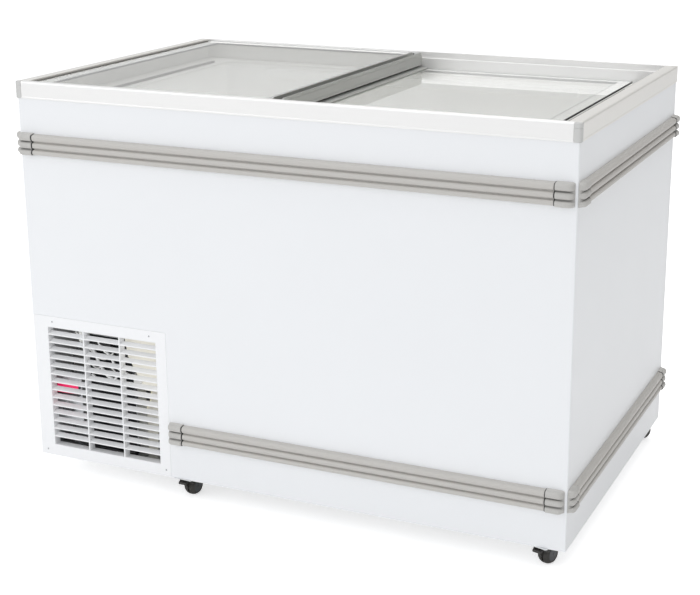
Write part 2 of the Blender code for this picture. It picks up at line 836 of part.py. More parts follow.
def make_condenser():
    """A finned coil block on edge behind the grille."""
    low = Vector((LEFT + 0.104, FRONT + 0.036, DECK))
    high = Vector((LEFT + 0.232, FRONT + 0.078, 0.335))
    coil = box("condenser", low, high, "machine_black")
    for number in range(1, 9):
        height = low.z + (high.z - low.z) * number / 9
        groove = box(
            f"condenser_groove_{number}",
            (low.x - 0.01, low.y - 0.01, height - 0.003),
            (high.x + 0.01, low.y + 0.010, height + 0.003),
            "machine_black",
        )
        cut(coil, groove)


def make_fan():
    x, y, z = FAN_CENTRE
    plate_front = y - 0.018
    plate_back = plate_front + 0.002
    outline = [
        (LEFT + 0.084, DECK),
        (LEFT + 0.252, DECK),
        (LEFT + 0.262, 0.205),
        (LEFT + 0.322, 0.238),
        (LEFT + 0.322, 0.354),
        (LEFT + 0.084, 0.354),
    ]
    opening = arc((x, z), FAN_OPENING, 0, 350, 35)
    shroud = extrusion("fan_shroud", [outline, opening], "Y", plate_front, plate_back, "shroud_cream")
    duct_centre = (x, plate_front + 0.014, z)
    duct = cylinder("shroud_duct", duct_centre, FAN_OPENING + 0.002, 0.028, "Y", "shroud_cream", 36)
    bore = cylinder("shroud_bore", duct_centre, FAN_OPENING, 0.05, "Y", "shroud_cream", 36)
    join(shroud, duct)
    cut(shroud, bore)

    pivot = empty("fan_pivot", FAN_CENTRE)
    blade_disc = cylinder("fan_blade", (x, y, z), 0.020, 0.016, "Y", "zinc", 24)
    for number in range(5):
        blade = box(f"fan_vane_{number}", (0.014, -0.0008, -0.021), (0.068, 0.0008, 0.021), "zinc")
        sweep = Matrix.Rotation(math.tau * number / 5, 4, "Y") @ Matrix.Rotation(math.radians(16), 4, "X")
        blade.matrix_world = Matrix.Translation(FAN_CENTRE) @ sweep @ Matrix.Translation((0.043, 0, 0))
        join(blade_disc, blade)
    hang_on(pivot, blade_disc)

    motor = cylinder("fan_motor", (x, y + 0.036, z), 0.027, 0.044, "Y", "machine_black", 24)
    strap_y = y + 0.030
    strap_low = (x - 0.081, strap_y, z - 0.008)
    strap_high = (x + 0.081, strap_y + 0.002, z + 0.008)
    join(motor, box("motor_strap", strap_low, strap_high, "machine_black"))
    for side in (-1, 1):
        foot_x = x + side * 0.080
        leg = box(
            f"motor_leg_{side}",
            (foot_x - 0.001, plate_back + GAP, z - 0.008),
            (foot_x + 0.001, strap_y + 0.002, z + 0.008),
            "machine_black",
        )
        join(motor, leg)


def make_controls():
    """The control box on its bracket, with a lit rocker switch and the thermostat knob."""
    face = FRONT + 0.034
    box_high = (LEFT + 0.094, FRONT + 0.074, 0.232)
    control_box = box("control_box", (LEFT + 0.022, face, 0.122), box_high, "galvanised")
    bracket_low = (LEFT + 0.030, FRONT + 0.070, DECK)
    bracket_high = (LEFT + 0.086, FRONT + 0.072, 0.130)
    join(control_box, box("control_bracket", bracket_low, bracket_high, "galvanised"))
    rocker_place = Vector((LEFT + 0.058, face, 0.200))
    pocket = box(
        "rocker_pocket",
        rocker_place + Vector((-0.029, -0.01, -0.012)),
        rocker_place + Vector((0.029, 0.016, 0.012)),
        "galvanised",
    )
    cut(control_box, pocket)

    rocker_axis = rocker_place + Vector((0, 0.003, 0))
    outline = [(-0.0265, 0.0045), (-0.0265, -0.0075), (0.0, -0.0055)]
    outline += [(0.0265, -0.0020), (0.0265, 0.0045)]
    outline = [(rocker_axis.x + x, rocker_axis.y + y) for x, y in outline]
    rocker = extrusion(
        "power_switch_rocker", [outline], "Z", rocker_place.z - 0.0105, rocker_place.z + 0.0105, "switch_red"
    )
    hang_on(empty("rocker_pivot", rocker_axis), rocker)

    knob_place = Vector((LEFT + 0.058, face - GAP - 0.005, 0.152))
    knob = cylinder("thermostat_knob", knob_place, 0.013, 0.010, "Y", "machine_black", 24)
    pointer = box(
        "knob_pointer",
        knob_place + Vector((-0.0015, -0.0065, -0.012)),
        knob_place + Vector((0.0015, -0.004, 0.012)),
        "machine_black",
    )
    join(knob, pointer)
    hang_on(empty("knob_pivot", knob_place), knob)


def make_cord_inlet():
    """The bush in the back panel that the mains lead passes through."""
    place = Vector((LEFT + 0.060, BACK, 0.095))
    bush = cylinder("cord_inlet", place + Vector((0, -0.0045, 0)), 0.010, 0.012, "Y", "black_rubber", 24)
    flange = cylinder(
        "inlet_flange", place + Vector((0, GAP + 0.0008, 0)), 0.014, 0.0016, "Y", "black_rubber", 24
    )
    join(bush, flange)
    cut(bush, cylinder("inlet_bore", place, 0.0045, 0.04, "Y", "black_rubber", 16))


# Casters

def hood_outline(pivot_x):
    """The hood from the side: round over the wheel, with its skirt reaching below the axle."""
    wheel_x = pivot_x + CASTER_TRAIL
    radius = HOOD_TOP - WHEEL_RADIUS
    outline = [(pivot_x - HOOD_BACK, HOOD_TOP), (pivot_x - HOOD_BACK, 0.030)]
    outline += [(pivot_x - 0.004, 0.015), (wheel_x - 0.007, 0.0095), (wheel_x + 0.006, 0.0095)]
    outline += arc((wheel_x, WHEEL_RADIUS), radius, -20, 90, 7)
    return outline


def make_caster(name, x, y, heading, with_brake):
    """One caster; its wheel trails behind the pivot in the direction of the heading, in degrees."""
    pivot = empty(name + "_swivel_pivot", (x, y, HOOD_TOP))
    plate_low = (x - PLATE_LONG / 2, y - PLATE_DEEP / 2, PLATE_BOTTOM)
    plate_high = (x + PLATE_LONG / 2, y + PLATE_DEEP / 2, PAN_BOTTOM - GAP)
    plate = box(name + "_plate", plate_low, plate_high, "zinc")
    bevel(plate, 0.0008, 1)

    near = y - HOOD_WIDTH / 2
    hood = extrusion(name + "_hood", [hood_outline(x)], "Y", near, near + HOOD_WIDTH, "caster_black")
    neck_length = PLATE_BOTTOM - GAP - HOOD_TOP + 0.002
    neck_centre = (x, y, PLATE_BOTTOM - GAP - neck_length / 2)
    neck = cylinder(name + "_neck", neck_centre, NECK_RADIUS, neck_length, "Z", "caster_black", 20)
    join(hood, neck)
    wheel_x = x + CASTER_TRAIL
    wheel_centre = Vector((wheel_x, y, WHEEL_RADIUS))
    arch_radius = WHEEL_RADIUS + WHEEL_CLEARANCE
    arch_width = WHEEL_WIDTH + 2 * WHEEL_CLEARANCE
    arch = cylinder(name + "_arch", wheel_centre, arch_radius, arch_width, "Y", "caster_black", 28)
    throat = box(
        name + "_throat",
        (wheel_x - arch_radius, y - arch_width / 2, -0.01),
        (wheel_x + arch_radius, y + arch_width / 2, WHEEL_RADIUS),
        "caster_black",
    )
    hole_radius = AXLE_RADIUS + 0.0004
    axle_hole = cylinder(name + "_axle_hole", wheel_centre, hole_radius, 0.06, "Y", "caster_black", 16)
    cut(hood, arch, throat, axle_hole)

    wheel = cylinder(name + "_wheel", wheel_centre, WHEEL_RADIUS, WHEEL_WIDTH, "Y", "caster_black", 28)
    bevel(wheel, 0.0025, 2)
    axle = cylinder(name + "_axle", wheel_centre, AXLE_RADIUS, HOOD_WIDTH - 0.001, "Y", "zinc", 16)
    join(wheel, axle)
    hang_on(pivot, hood, neck, arch, throat, axle_hole, wheel, axle)
    if with_brake:
        root = x - HOOD_BACK - 0.0012
        lever_low = (root - LEVER_LENGTH, y - LEVER_WIDTH / 2, LEVER_BOTTOM)
        lever_high = (root, y + LEVER_WIDTH / 2, LEVER_TOP)
        lever = box(name + "_brake_lever", lever_low, lever_high, "caster_black")
        bevel(lever, 0.0012, 1)
        hang_on(pivot, lever)
    pivot.rotation_euler.z = math.radians(heading)


def make_casters():
    front_row = FRONT + CASTER_INSET
    back_row = BACK - CASTER_INSET
    left_row = LEFT + 0.3645
    right_row = LEFT + 1.164
    make_caster("front_left_caster", left_row, front_row, 87, True)
    make_caster("front_right_caster", right_row, front_row, 75, True)
    make_caster("back_left_caster", left_row, back_row, 0, False)
    make_caster("back_right_caster", right_row, back_row, 0, False)


def main():
    clear_scene()
    make_materials()
    make_front_panel()
    make_back_panel()
    make_side_panels()
    make_base_pan()
    make_bulkhead()
    make_liner()
    make_collar()
    make_top_frame()
    make_upper_lid()
    make_lower_lid()
    make_bumpers()
    make_grille()
    make_compressor()
    make_condenser()
    make_fan()
    make_controls()
    make_cord_inlet()
    make_casters()


main()
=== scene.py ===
"""Looks of an ice cream dipping cabinet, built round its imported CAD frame. Metres, +Z up."""
import json
from math import atan2, cos, pi, radians, sin, sqrt, tau

import bmesh
import bpy
from mathutils import Matrix, Vector


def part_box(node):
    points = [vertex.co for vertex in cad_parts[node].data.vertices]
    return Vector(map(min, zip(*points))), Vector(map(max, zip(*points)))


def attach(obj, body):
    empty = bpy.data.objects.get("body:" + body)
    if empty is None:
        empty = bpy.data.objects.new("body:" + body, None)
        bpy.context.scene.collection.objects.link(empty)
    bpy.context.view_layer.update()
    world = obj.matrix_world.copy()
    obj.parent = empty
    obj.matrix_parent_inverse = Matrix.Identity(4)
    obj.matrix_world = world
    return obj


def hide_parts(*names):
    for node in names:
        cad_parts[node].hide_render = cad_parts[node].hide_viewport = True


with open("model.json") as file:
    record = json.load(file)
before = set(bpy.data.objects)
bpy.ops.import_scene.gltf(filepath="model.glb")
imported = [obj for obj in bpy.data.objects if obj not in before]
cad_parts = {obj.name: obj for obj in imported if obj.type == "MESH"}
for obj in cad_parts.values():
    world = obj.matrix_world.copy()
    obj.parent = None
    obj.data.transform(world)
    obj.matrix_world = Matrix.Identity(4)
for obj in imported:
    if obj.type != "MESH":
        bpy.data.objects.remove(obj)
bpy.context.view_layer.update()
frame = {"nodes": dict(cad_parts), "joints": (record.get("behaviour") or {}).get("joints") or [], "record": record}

# Places read from the frame
FRONT_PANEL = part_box("front_panel")
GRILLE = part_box("louvred_grille")
LEFT, FRONT, BOTTOM = FRONT_PANEL[0]
RIGHT = FRONT_PANEL[1].x
PANEL_TOP = FRONT_PANEL[1].z
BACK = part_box("back_panel")[1].y
FRAME_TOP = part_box("frame_front")[1].z
FRAME_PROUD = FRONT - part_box("frame_front")[0].y
FAN_CENTRE = Vector(next(joint["pos_m"] for joint in frame["joints"] if joint["name"] == "fan_spin"))

# Sizes and places that the parts share
GAP = 0.0003
SHEET = 0.001
FOLD = 0.014
VENT_START, VENT_STOP = LEFT + 0.050, LEFT + 0.290
VENT_TALL = 0.008
VENT_FEET = [0.130 + 0.024 * row for row in range(9)]
LINER_LEFT, LINER_RIGHT = LEFT + 0.108, RIGHT - 0.108
LINER_FRONT, LINER_BACK = FRONT + 0.055, BACK - 0.055
LINER_WALL = 0.0012
FAN_RADIUS = 0.074
COMPRESSOR_Y = BACK - 0.190
CASTER_HALF = 0.015
CASTER_WEB = 0.0014
SHARP = radians(38)

# Camera and light
CAMERA_EYE = (1.317, -2.862, 1.359)
CAMERA_YAW = 23.45
CAMERA_PITCH = 15.74
CAMERA_LENS = 75.6
CAMERA_SHIFT = (-0.055, -0.055)


# Node materials

# A material's slot has its name, except for these; the palette keeps each slot's first material
SHARED_SLOTS = {
    "frame_aluminium_x": "frame_aluminium", "frame_aluminium_y_shaded": "frame_aluminium",
    "collar_shade_grey": "collar_plastic", "gasket_rubber": "black_rubber", "bumper_cap_grey": "bumper_grey",
    "tread_black": "caster_black", "hub_grey": "caster_black", "lead_white": "grille_white",
}
PALETTE = {}


class Nodes:
    """A material's or a world's node tree, written as nested calls."""

    def __init__(self, name, world=None):
        owner = world or bpy.data.materials.new(name)
        owner.use_nodes = True
        if not world:
            owner["slot"] = SHARED_SLOTS.get(name, name)
            PALETTE.setdefault(owner["slot"], owner)
        self.material = owner
        self.tree = owner.node_tree
        self.shader = self.tree.nodes["Background" if world else "Principled BSDF"]
        self.place = self.node("ShaderNodeTexCoord").outputs["Generated" if world else "Object"]

    def node(self, kind, inputs=None, **settings):
        made = self.tree.nodes.new(kind)
        for key, value in settings.items():
            setattr(made, key, value)
        for key, value in (inputs or {}).items():
            self.feed(made.inputs[key], value)
        return made

    def feed(self, socket, value):
        if isinstance(value, bpy.types.NodeSocket):
            self.tree.links.new(value, socket)
        else:
            socket.default_value = value

    def noise(self, scale, detail=3.0, roughness=0.55, stretch=None):
        """Noise in the object's own metres, drawn out by a scale of its own for each axis."""
        place = self.place
        if stretch:
            place = self.node("ShaderNodeMapping", {"Vector": place, "Scale": stretch}).outputs[0]
        inputs = {"Vector": place, "Scale": scale, "Detail": detail, "Roughness": roughness}
        return self.node("ShaderNodeTexNoise", inputs).outputs[0]

    def spread(self, value, low, high, start=0.3, stop=0.7):
        """Stretch the part of a value between start and stop to run from low to high."""
        inputs = {"Value": value, "From Min": start, "From Max": stop, "To Min": low, "To Max": high}
        return self.node("ShaderNodeMapRange", inputs).outputs[0]

    def blend(self, factor, first, second):
        """Mix two colours; 6 and 7 are the mix node's colour sockets."""
        inputs = {"Factor": factor, 6: first, 7: second}
        return self.node("ShaderNodeMix", inputs, data_type="RGBA").outputs[2]

    def bump(self, height, strength, distance):
        inputs = {"Height": height, "Strength": strength, "Distance": distance}
        return self.node("ShaderNodeBump", inputs).outputs[0]

    def edges(self, start=0.50, stop=0.56):
        """1 on edges that stand out, 0 elsewhere; 1 in hollows when start is above stop."""
        return self.spread(self.node("ShaderNodeNewGeometry").outputs["Pointiness"], 0.0, 1.0, start, stop)

    def facing(self, vector, way):
        """How far a vector points a given way."""
        made = self.node("ShaderNodeVectorMath", {0: vector, 1: way}, operation="DOT_PRODUCT")
        return made.outputs["Value"]

    def set(self, **values):
        """Set or link the shader's sockets; underscores stand for spaces."""
        for key, value in values.items():
            self.feed(self.shader.inputs[key.replace("_", " ")], value)
        return self.material


def shade(colour, factor):
    return tuple(min(1.0, channel * factor) for channel in colour) + (1.0,)


def coated(name, colour, roughness, vary=0.03, coat=0.0, grain=0.08, grain_scale=900.0,
           uneven=0.045, glow=0.0):
    """Powder-coated or moulded surface: cloudy tone, uneven gloss and a fine orange-peel skin; glow is painted
    light, an emission that brightens a part which is no lamp.
    """
    n = Nodes(name)
    cloud = n.noise(3.5, 4.0)
    worn = n.blend(n.spread(cloud, 0.0, 1.0), shade(colour, 1 - vary), shade(colour, 1 + vary))
    rubbed = n.blend(n.edges(), worn, shade(colour, 1 + 2 * vary))
    gloss = n.spread(n.noise(14.0, 3.0), roughness - uneven, roughness + uneven)
    n.set(Base_Color=rubbed, Roughness=gloss, Coat_Weight=coat, Coat_Roughness=0.12)
    if grain:
        n.set(Normal=n.bump(n.noise(grain_scale, 2.0), grain, 0.0002))
    # glow is painted light: an emission that makes the part shine though it is no lamp.
    return n.set(Emission_Color=shade(colour, 1.1), Emission_Strength=glow)


def plastic(name, colour, roughness, speckle=0.10, grain=0.25, grain_scale=1500.0):
    """Moulded plastic: spark-eroded grain, faint specks, and painted shade that darkens its hollows."""
    n = Nodes(name)
    speck = n.spread(n.noise(1300.0, 2.0, 0.7), 0.0, 1.0, 0.40, 0.66)
    tone = n.blend(speck, shade(colour, 1 - speckle), shade(colour, 1 + speckle))
    cloud = n.blend(n.spread(n.noise(9.0), 0.0, 0.5), tone, shade(colour, 1 - speckle / 2))
    rubbed = n.blend(n.edges(0.51, 0.60), cloud, shade(colour, 1.18))
    # Painted shade: hollows darken to 40 % of the colour, where shade falls.
    hollow_shaded = n.blend(n.edges(0.49, 0.42), rubbed, shade(colour, 0.40))
    gloss = n.spread(n.noise(60.0), roughness - 0.05, roughness + 0.06)
    skin = n.bump(n.noise(grain_scale, 2.0), grain, 0.0002)
    return n.set(Base_Color=hollow_shaded, Roughness=gloss, Normal=skin)


def brushed(name, colour, roughness, along, metallic=1.0, streak=0.10, grain=0.10):
    """Metal with fine drawn lines along an axis, cloudy anodising and brighter rubbed edges."""
    n = Nodes(name)
    stretch = [1.0, 1.0, 1.0]
    stretch["XYZ".index(along)] = 0.012
    lines = n.noise(1600.0, 3.0, 0.6, tuple(stretch))
    tone = n.blend(n.spread(lines, 0.0, 1.0), shade(colour, 1 - streak), shade(colour, 1 + streak / 2))
    cloud = n.blend(n.spread(n.noise(6.0), 0.0, 0.5), tone, shade(colour, 0.94))
    rubbed = n.blend(n.edges(), cloud, shade(colour, 1.15))
    gloss = n.spread(lines, roughness - 0.06, roughness + 0.08)
    draw = n.bump(lines, grain, 0.0001)
    return n.set(Base_Color=rubbed, Roughness=gloss, Metallic=metallic, Normal=draw)


def galvanised(name):
    """Zinc spangle: angular patches of slightly different grey."""
    n = Nodes(name)
    cells = n.node("ShaderNodeTexVoronoi", {"Vector": n.place, "Scale": 110.0, "Randomness": 1.0})
    patch = n.spread(cells.outputs["Color"], 0.0, 1.0, 0.0, 1.0)
    tone = n.blend(patch, (0.44, 0.45, 0.46, 1), (0.62, 0.63, 0.64, 1))
    gloss = n.spread(patch, 0.32, 0.52, 0.0, 1.0)
    skin = n.bump(n.noise(500.0), 0.08, 0.0002)
    return n.set(Base_Color=tone, Roughness=gloss, Metallic=0.9, Normal=skin)


def lid_glass(name, tint, edge):
    """Clear pane that lets lamps through; its polished edges are deeper in colour."""
    n = Nodes(name)
    film = n.spread(n.noise(5.0, 4.0), 0.0, 0.02)
    upright = n.facing(n.node("ShaderNodeTexCoord").outputs["Normal"], (0, 0, 1))
    level = n.node("ShaderNodeMath", {0: upright}, operation="ABSOLUTE").outputs[0]
    n.set(Base_Color=n.blend(n.spread(level, 0.0, 1.0, 0.3, 0.9), edge, tint), Roughness=film, IOR=1.5)
    n.set(Transmission_Weight=1.0, Specular_IOR_Level=0.5)
    lamp_ray = n.node("ShaderNodeLightPath").outputs["Is Shadow Ray"]
    clear = n.node("ShaderNodeBsdfTransparent", {"Color": tint})
    mixed = n.node("ShaderNodeMixShader", {0: lamp_ray, 1: n.shader.outputs[0], 2: clear.outputs[0]})
    n.tree.links.new(mixed.outputs[0], n.tree.nodes["Material Output"].inputs["Surface"])
    return n.material


def lit_switch(name):
    """Translucent red rocker with a lamp inside."""
    n = Nodes(name)
    glow = n.spread(n.noise(70.0), 0.75, 1.0)
    tone = n.blend(glow, (0.50, 0.00, 0.06, 1), (0.90, 0.02, 0.14, 1))
    skin = n.bump(n.noise(900.0), 0.05, 0.0002)
    n.set(Base_Color=tone, Roughness=0.30, Normal=skin, Emission_Color=(0.95, 0.01, 0.13, 1))
    return n.set(Emission_Strength=0.35)


WHITE = coated("white_sheet", (0.868, 0.877, 0.890), 0.33, vary=0.006, grain=0.0, uneven=0.03)
# Painted light: the grille's slight glow lightens its slat tops, which lie in the shade of the slats above.
GRILLE_WHITE = coated(
    "grille_white", (0.865, 0.868, 0.876), 0.38, vary=0.008, grain=0.02, uneven=0.02, glow=0.045
)
# Painted light: the liner glows to brighten the well's inside, which little lamp light reaches through the lids.
LINER_WHITE = coated(
    "liner_white", (0.87, 0.87, 0.855), 0.36, vary=0.01, grain=0.0, uneven=0.02, glow=0.18
)
GALVANISED = galvanised("galvanised")
FRAME_ALONG_X = brushed("frame_aluminium_x", (0.82, 0.812, 0.80), 0.38, "X", 0.6, 0.05)
# Painted shade: the side members and back corners are the same aluminium as the rest, but take a darker, warmer
# copy of its colour.
FRAME_ALONG_Y_SHADED = brushed("frame_aluminium_y_shaded", (0.81, 0.794, 0.762), 0.38, "Y", 0.55, 0.05)
HANDLE_METAL = brushed("handle_aluminium", (0.53, 0.535, 0.515), 0.40, "Y", 0.75, 0.08, 0.2)
CAP_PLASTIC = plastic("cap_plastic", (0.57, 0.568, 0.555), 0.42, 0.05, 0.15)
# Painted light: the collar moulding and the well lining glow, which brightens them under the lids.
COLLAR_PLASTIC = coated(
    "collar_plastic", (0.74, 0.735, 0.71), 0.45,
    vary=0.012, grain=0.05, grain_scale=1200.0, uneven=0.03, glow=0.12,
)
# Painted shade: a dark copy of the collar plastic, used for the stop beads, the left gap fill and the ledge track.
COLLAR_SHADE_GREY = plastic("collar_shade_grey", (0.15, 0.143, 0.132), 0.50, 0.05, 0.2)
BORDER_PLASTIC = plastic("border_plastic", (0.84, 0.835, 0.81), 0.40, 0.02, 0.08)
BLACK_RUBBER = plastic("black_rubber", (0.035, 0.035, 0.035), 0.70, 0.2, 0.3)
GASKET = plastic("gasket_rubber", (0.10, 0.10, 0.10), 0.60, 0.15, 0.2)
BUMPER_GREY = plastic("bumper_grey", (0.51, 0.492, 0.465), 0.46, 0.03, 0.10)
BUMPER_CAP = plastic("bumper_cap_grey", (0.52, 0.508, 0.485), 0.50, 0.14, 0.35)
CASTER_BLACK = plastic("caster_black", (0.028, 0.026, 0.024), 0.42, 0.2, 0.2)
TREAD_BLACK = plastic("tread_black", (0.046, 0.043, 0.038), 0.55, 0.25, 0.35, 900.0)
HUB_GREY = plastic("hub_grey", (0.085, 0.088, 0.092), 0.36, 0.1, 0.15)
MACHINE_BLACK = coated(
    "machine_black", (0.030, 0.030, 0.033), 0.35, vary=0.12, coat=0.3, grain=0.12, grain_scale=500.0
)
COIL_BLACK = coated(
    "coil_black", (0.028, 0.028, 0.031), 0.42, vary=0.15, coat=0.1, grain=0.15, grain_scale=700.0
)
KNOB_BLACK = plastic("knob_black", (0.04, 0.04, 0.045), 0.40, 0.1, 0.2)
# Painted light: the shroud, its ribs and the air guide glow so that they show bright behind the slats.
SHROUD_CREAM = coated(
    "shroud_cream", (0.80, 0.775, 0.69), 0.48,
    grain=0.1, grain_scale=1200.0, uneven=0.04, glow=0.16,
)
ZINC = brushed("zinc", (0.66, 0.67, 0.68), 0.30, "X", 0.95, 0.08)
BLADE_METAL = brushed("blade_aluminium", (0.68, 0.69, 0.70), 0.30, "X", 0.95, 0.08)
GLASS = lid_glass("lid_glass", (0.988, 0.992, 0.988, 1), (0.66, 0.76, 0.72, 1))
SWITCH_RED = lit_switch("switch_red")
COPPER = brushed("copper_tube", (0.62, 0.32, 0.20), 0.30, "X", 0.95, 0.10)
FOIL = brushed("foil_wrap", (0.88, 0.88, 0.86), 0.28, "Z", 0.6, 0.2, 0.6)
LEAD_WHITE = plastic("lead_white", (0.86, 0.85, 0.82), 0.40, 0.04, 0.1)


# Shapes: each adds to the mesh being built, and piece() makes an object of that and starts afresh

work = bmesh.new()


def add(name, data):
    made = bpy.data.objects.new(name, data)
    bpy.context.scene.collection.objects.link(made)
    return made


def modify(made, kind, **settings):
    modifier = made.modifiers.new(kind.lower(), kind)
    for key, value in settings.items():
        setattr(modifier, key, value)


def arc(centre, radius, first, last, steps):
    """Points on a circle from one angle to another, in degrees."""
    angles = [radians(first + (last - first) * step / steps) for step in range(steps + 1)]
    return [(centre[0] + radius * cos(a), centre[1] + radius * sin(a)) for a in angles]


def rounded_rectangle(low, high, radius, steps=6):
    points = arc((high[0] - radius, high[1] - radius), radius, 0, 90, steps)
    points += arc((low[0] + radius, high[1] - radius), radius, 90, 180, steps)
    points += arc((low[0] + radius, low[1] + radius), radius, 180, 270, steps)
    points += arc((high[0] - radius, low[1] + radius), radius, 270, 360, steps)
    return points


def point(axis, along, a, b):
    """A point at a distance along an axis; a and b are the other two coordinates, in XYZ order."""
    if axis == "X":
        return Vector((along, a, b))
    if axis == "Y":
        return Vector((a, along, b))
    return Vector((a, b, along))


def loft(rings, caps=True):
    """Skin closed rings of equal length."""
    rows = [[work.verts.new(place) for place in ring] for ring in rings]
    for first, second in zip(rows, rows[1:]):
        for i in range(len(first)):
            j = (i + 1) % len(first)
            work.faces.new((first[i], first[j], second[j], second[i]))
    if caps:
        work.faces.new(rows[0])
        work.faces.new(rows[-1])


def prism(outline, axis, start, stop, ends=None):
    """Extrude an outline; ends(a, b) may give each outline point its own start and stop."""
    rings = [[], []]
    for a, b in outline:
        spans = ends(a, b) if ends else (start, stop)
        for ring, along in zip(rings, spans):
            ring.append(point(axis, along, a, b))
    loft(rings)


def lathe(profile, centre, axis, steps=32):
    """Turn a (radius, along) profile round an axis through the centre."""
    turns = [tau * step / steps for step in range(steps)]
    rings = []
    for radius, along in profile:
        ring = [point(axis, along, radius * cos(turn), radius * sin(turn)) for turn in turns]
        rings.append([Vector(centre) + place for place in ring])
    before = set(work.verts)
    loft(rings, caps=False)
    made = [vertex for vertex in work.verts if vertex not in before]
    bmesh.ops.remove_doubles(work, verts=made, dist=1e-6)


def soft_box(low, high, radius, segments=3):
    """A box with rounded edges."""
    low, high = Vector(low), Vector(high)
    verts = bmesh.ops.create_cube(work, size=1.0)["verts"]
    bmesh.ops.scale(work, vec=high - low, verts=verts)
    bmesh.ops.translate(work, vec=(low + high) / 2, verts=verts)
    edges = list({edge for vertex in verts for edge in vertex.link_edges})
    bmesh.ops.bevel(work, geom=edges, offset=radius, segments=segments, profile=0.5, affect="EDGES")


def holed_plate(outlines, axis, start, stop):
    """A flat plate from an outline and its holes."""
    curve = bpy.data.curves.new("outline", "CURVE")
    curve.dimensions = "2D"
    curve.fill_mode = "BOTH"
    curve.extrude = (stop - start) / 2
    for outline in outlines:
        spline = curve.splines.new("POLY")
        spline.points.add(len(outline) - 1)
        spline.use_cyclic_u = True
        for corner, (across, up) in zip(spline.points, outline):
            corner.co = (across, up, 0, 1)
    guide = add("outline", curve)
    bpy.context.view_layer.update()
    flat = bpy.data.meshes.new_from_object(guide.evaluated_get(bpy.context.evaluated_depsgraph_get()))
    bpy.data.objects.remove(guide)
    plate = bmesh.new()
    plate.from_mesh(flat)
    bmesh.ops.remove_doubles(plate, verts=plate.verts, dist=1e-6)
    bmesh.ops.dissolve_limit(
        plate, angle_limit=0.01, use_dissolve_boundaries=False, verts=plate.verts, edges=plate.edges
    )
    middle = (start + stop) / 2
    for vertex in plate.verts:
        vertex.co = point(axis, middle + vertex.co.z, vertex.co.x, vertex.co.y)
    plate.to_mesh(flat)
    plate.free()
    work.from_mesh(flat)
    bpy.data.meshes.remove(flat)


def sheet_grid(plan, levels, keep=None):
    """An upright sheet over a plan line, without the cells that keep(x, z) turns down."""
    rows = [[work.verts.new((x, y, z)) for x, y in plan] for z in levels]
    for number, (low, high) in enumerate(zip(rows, rows[1:])):
        height = (levels[number] + levels[number + 1]) / 2
        for i in range(len(plan) - 1):
            middle = (plan[i][0] + plan[i + 1][0]) / 2
            if keep is None or keep(middle, height):
                work.faces.new((low[i], low[i + 1], high[i + 1], high[i]))
    bmesh.ops.delete(work, geom=[v for v in work.verts if not v.link_faces], context="VERTS")


def piece(name, material, body="cabinet", replaces=None, edge=0.0, thick=0.0, steps=2, turn=None):
    """Make an object of what has been built; edge rounds its edges, thick makes a sheet solid."""
    if turn:
        bmesh.ops.transform(work, matrix=turn, verts=work.verts)
    if not thick:
        bmesh.ops.recalc_face_normals(work, faces=work.faces)
    mesh = bpy.data.meshes.new(name)
    work.to_mesh(mesh)
    work.clear()
    mesh.materials.append(material)
    mesh.shade_smooth()
    mesh.set_sharp_from_angle(angle=SHARP)
    made = add(name, mesh)
    if thick:
        modify(made, "SOLIDIFY", thickness=thick, offset=-1.0, use_even_offset=True)
    if edge:
        modify(made, "BEVEL", width=edge, segments=steps, limit_method="ANGLE", angle_limit=SHARP)
    modify(made, "WEIGHTED_NORMAL", keep_sharp=True)
    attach(made, body)
    if replaces:
        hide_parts(replaces)


def tube(name, points, radius, material):
    """A round tube or wire along a smooth line."""
    curve = bpy.data.curves.new(name, "CURVE")
    curve.dimensions = "3D"
    curve.bevel_depth = radius
    curve.bevel_resolution = 4
    curve.use_fill_caps = True
    spline = curve.splines.new("BEZIER")
    spline.bezier_points.add(len(points) - 1)
    for knot, place in zip(spline.bezier_points, points):
        knot.co = place
        knot.handle_left_type = knot.handle_right_type = "AUTO"
    curve.materials.append(material)
    made = add(name, curve)
    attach(made, "cabinet")


# Shell

def folded_plan(face, inward, first, last, radius=0.003, steps=6, breaks=()):
    """Plan line of a sheet folded round the body's corners; None for an end that stays flat."""
    fold = face + inward * FOLD
    plan = [(LEFT, fold)] if first is None else [(first, face)]
    if first is None:
        corner = arc((LEFT + radius, 0), radius, 180, 270, steps)
        plan += [(x, face + inward * (radius + y)) for x, y in corner]
    plan += [(x, face) for x in breaks]
    if last is None:
        corner = arc((RIGHT - radius, 0), radius, 270, 360, steps)
        plan += [(x, face + inward * (radius + y)) for x, y in corner]
        plan += [(RIGHT, fold)]
    else:
        plan += [(last, face)]
    return plan if inward > 0 else plan[::-1]


def make_front_panel():
    """The front sheet with its notch for the grille."""
    notch_x = GRILLE[1].x + GAP
    notch_z = GRILLE[1].z + GAP
    plan = folded_plan(FRONT, 1, None, None, breaks=(notch_x,))
    sheet_grid(plan, (BOTTOM, notch_z, PANEL_TOP), lambda x, z: x > notch_x or z > notch_z)
    piece("front_sheet", WHITE, replaces="front_panel", thick=SHEET, edge=0.0003)


def make_side_panels():
    for side, face, inward in (("left", LEFT, 1), ("right", RIGHT, -1)):
        low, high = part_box(side + "_side_panel")
        first, last = (high.y, low.y) if inward > 0 else (low.y, high.y)
        hem = face + inward * 0.0025
        sheet_grid([(hem, first), (face, first), (face, last), (hem, last)], (BOTTOM, PANEL_TOP))
        piece(side + "_sheet", WHITE, replaces=side + "_side_panel", thick=SHEET, edge=0.0003)


def vent_outlines():
    """The back's rows of vent slots."""
    return [
        rounded_rectangle((VENT_START, foot), (VENT_STOP, foot + VENT_TALL), 0.0038) for foot in VENT_FEET
    ]


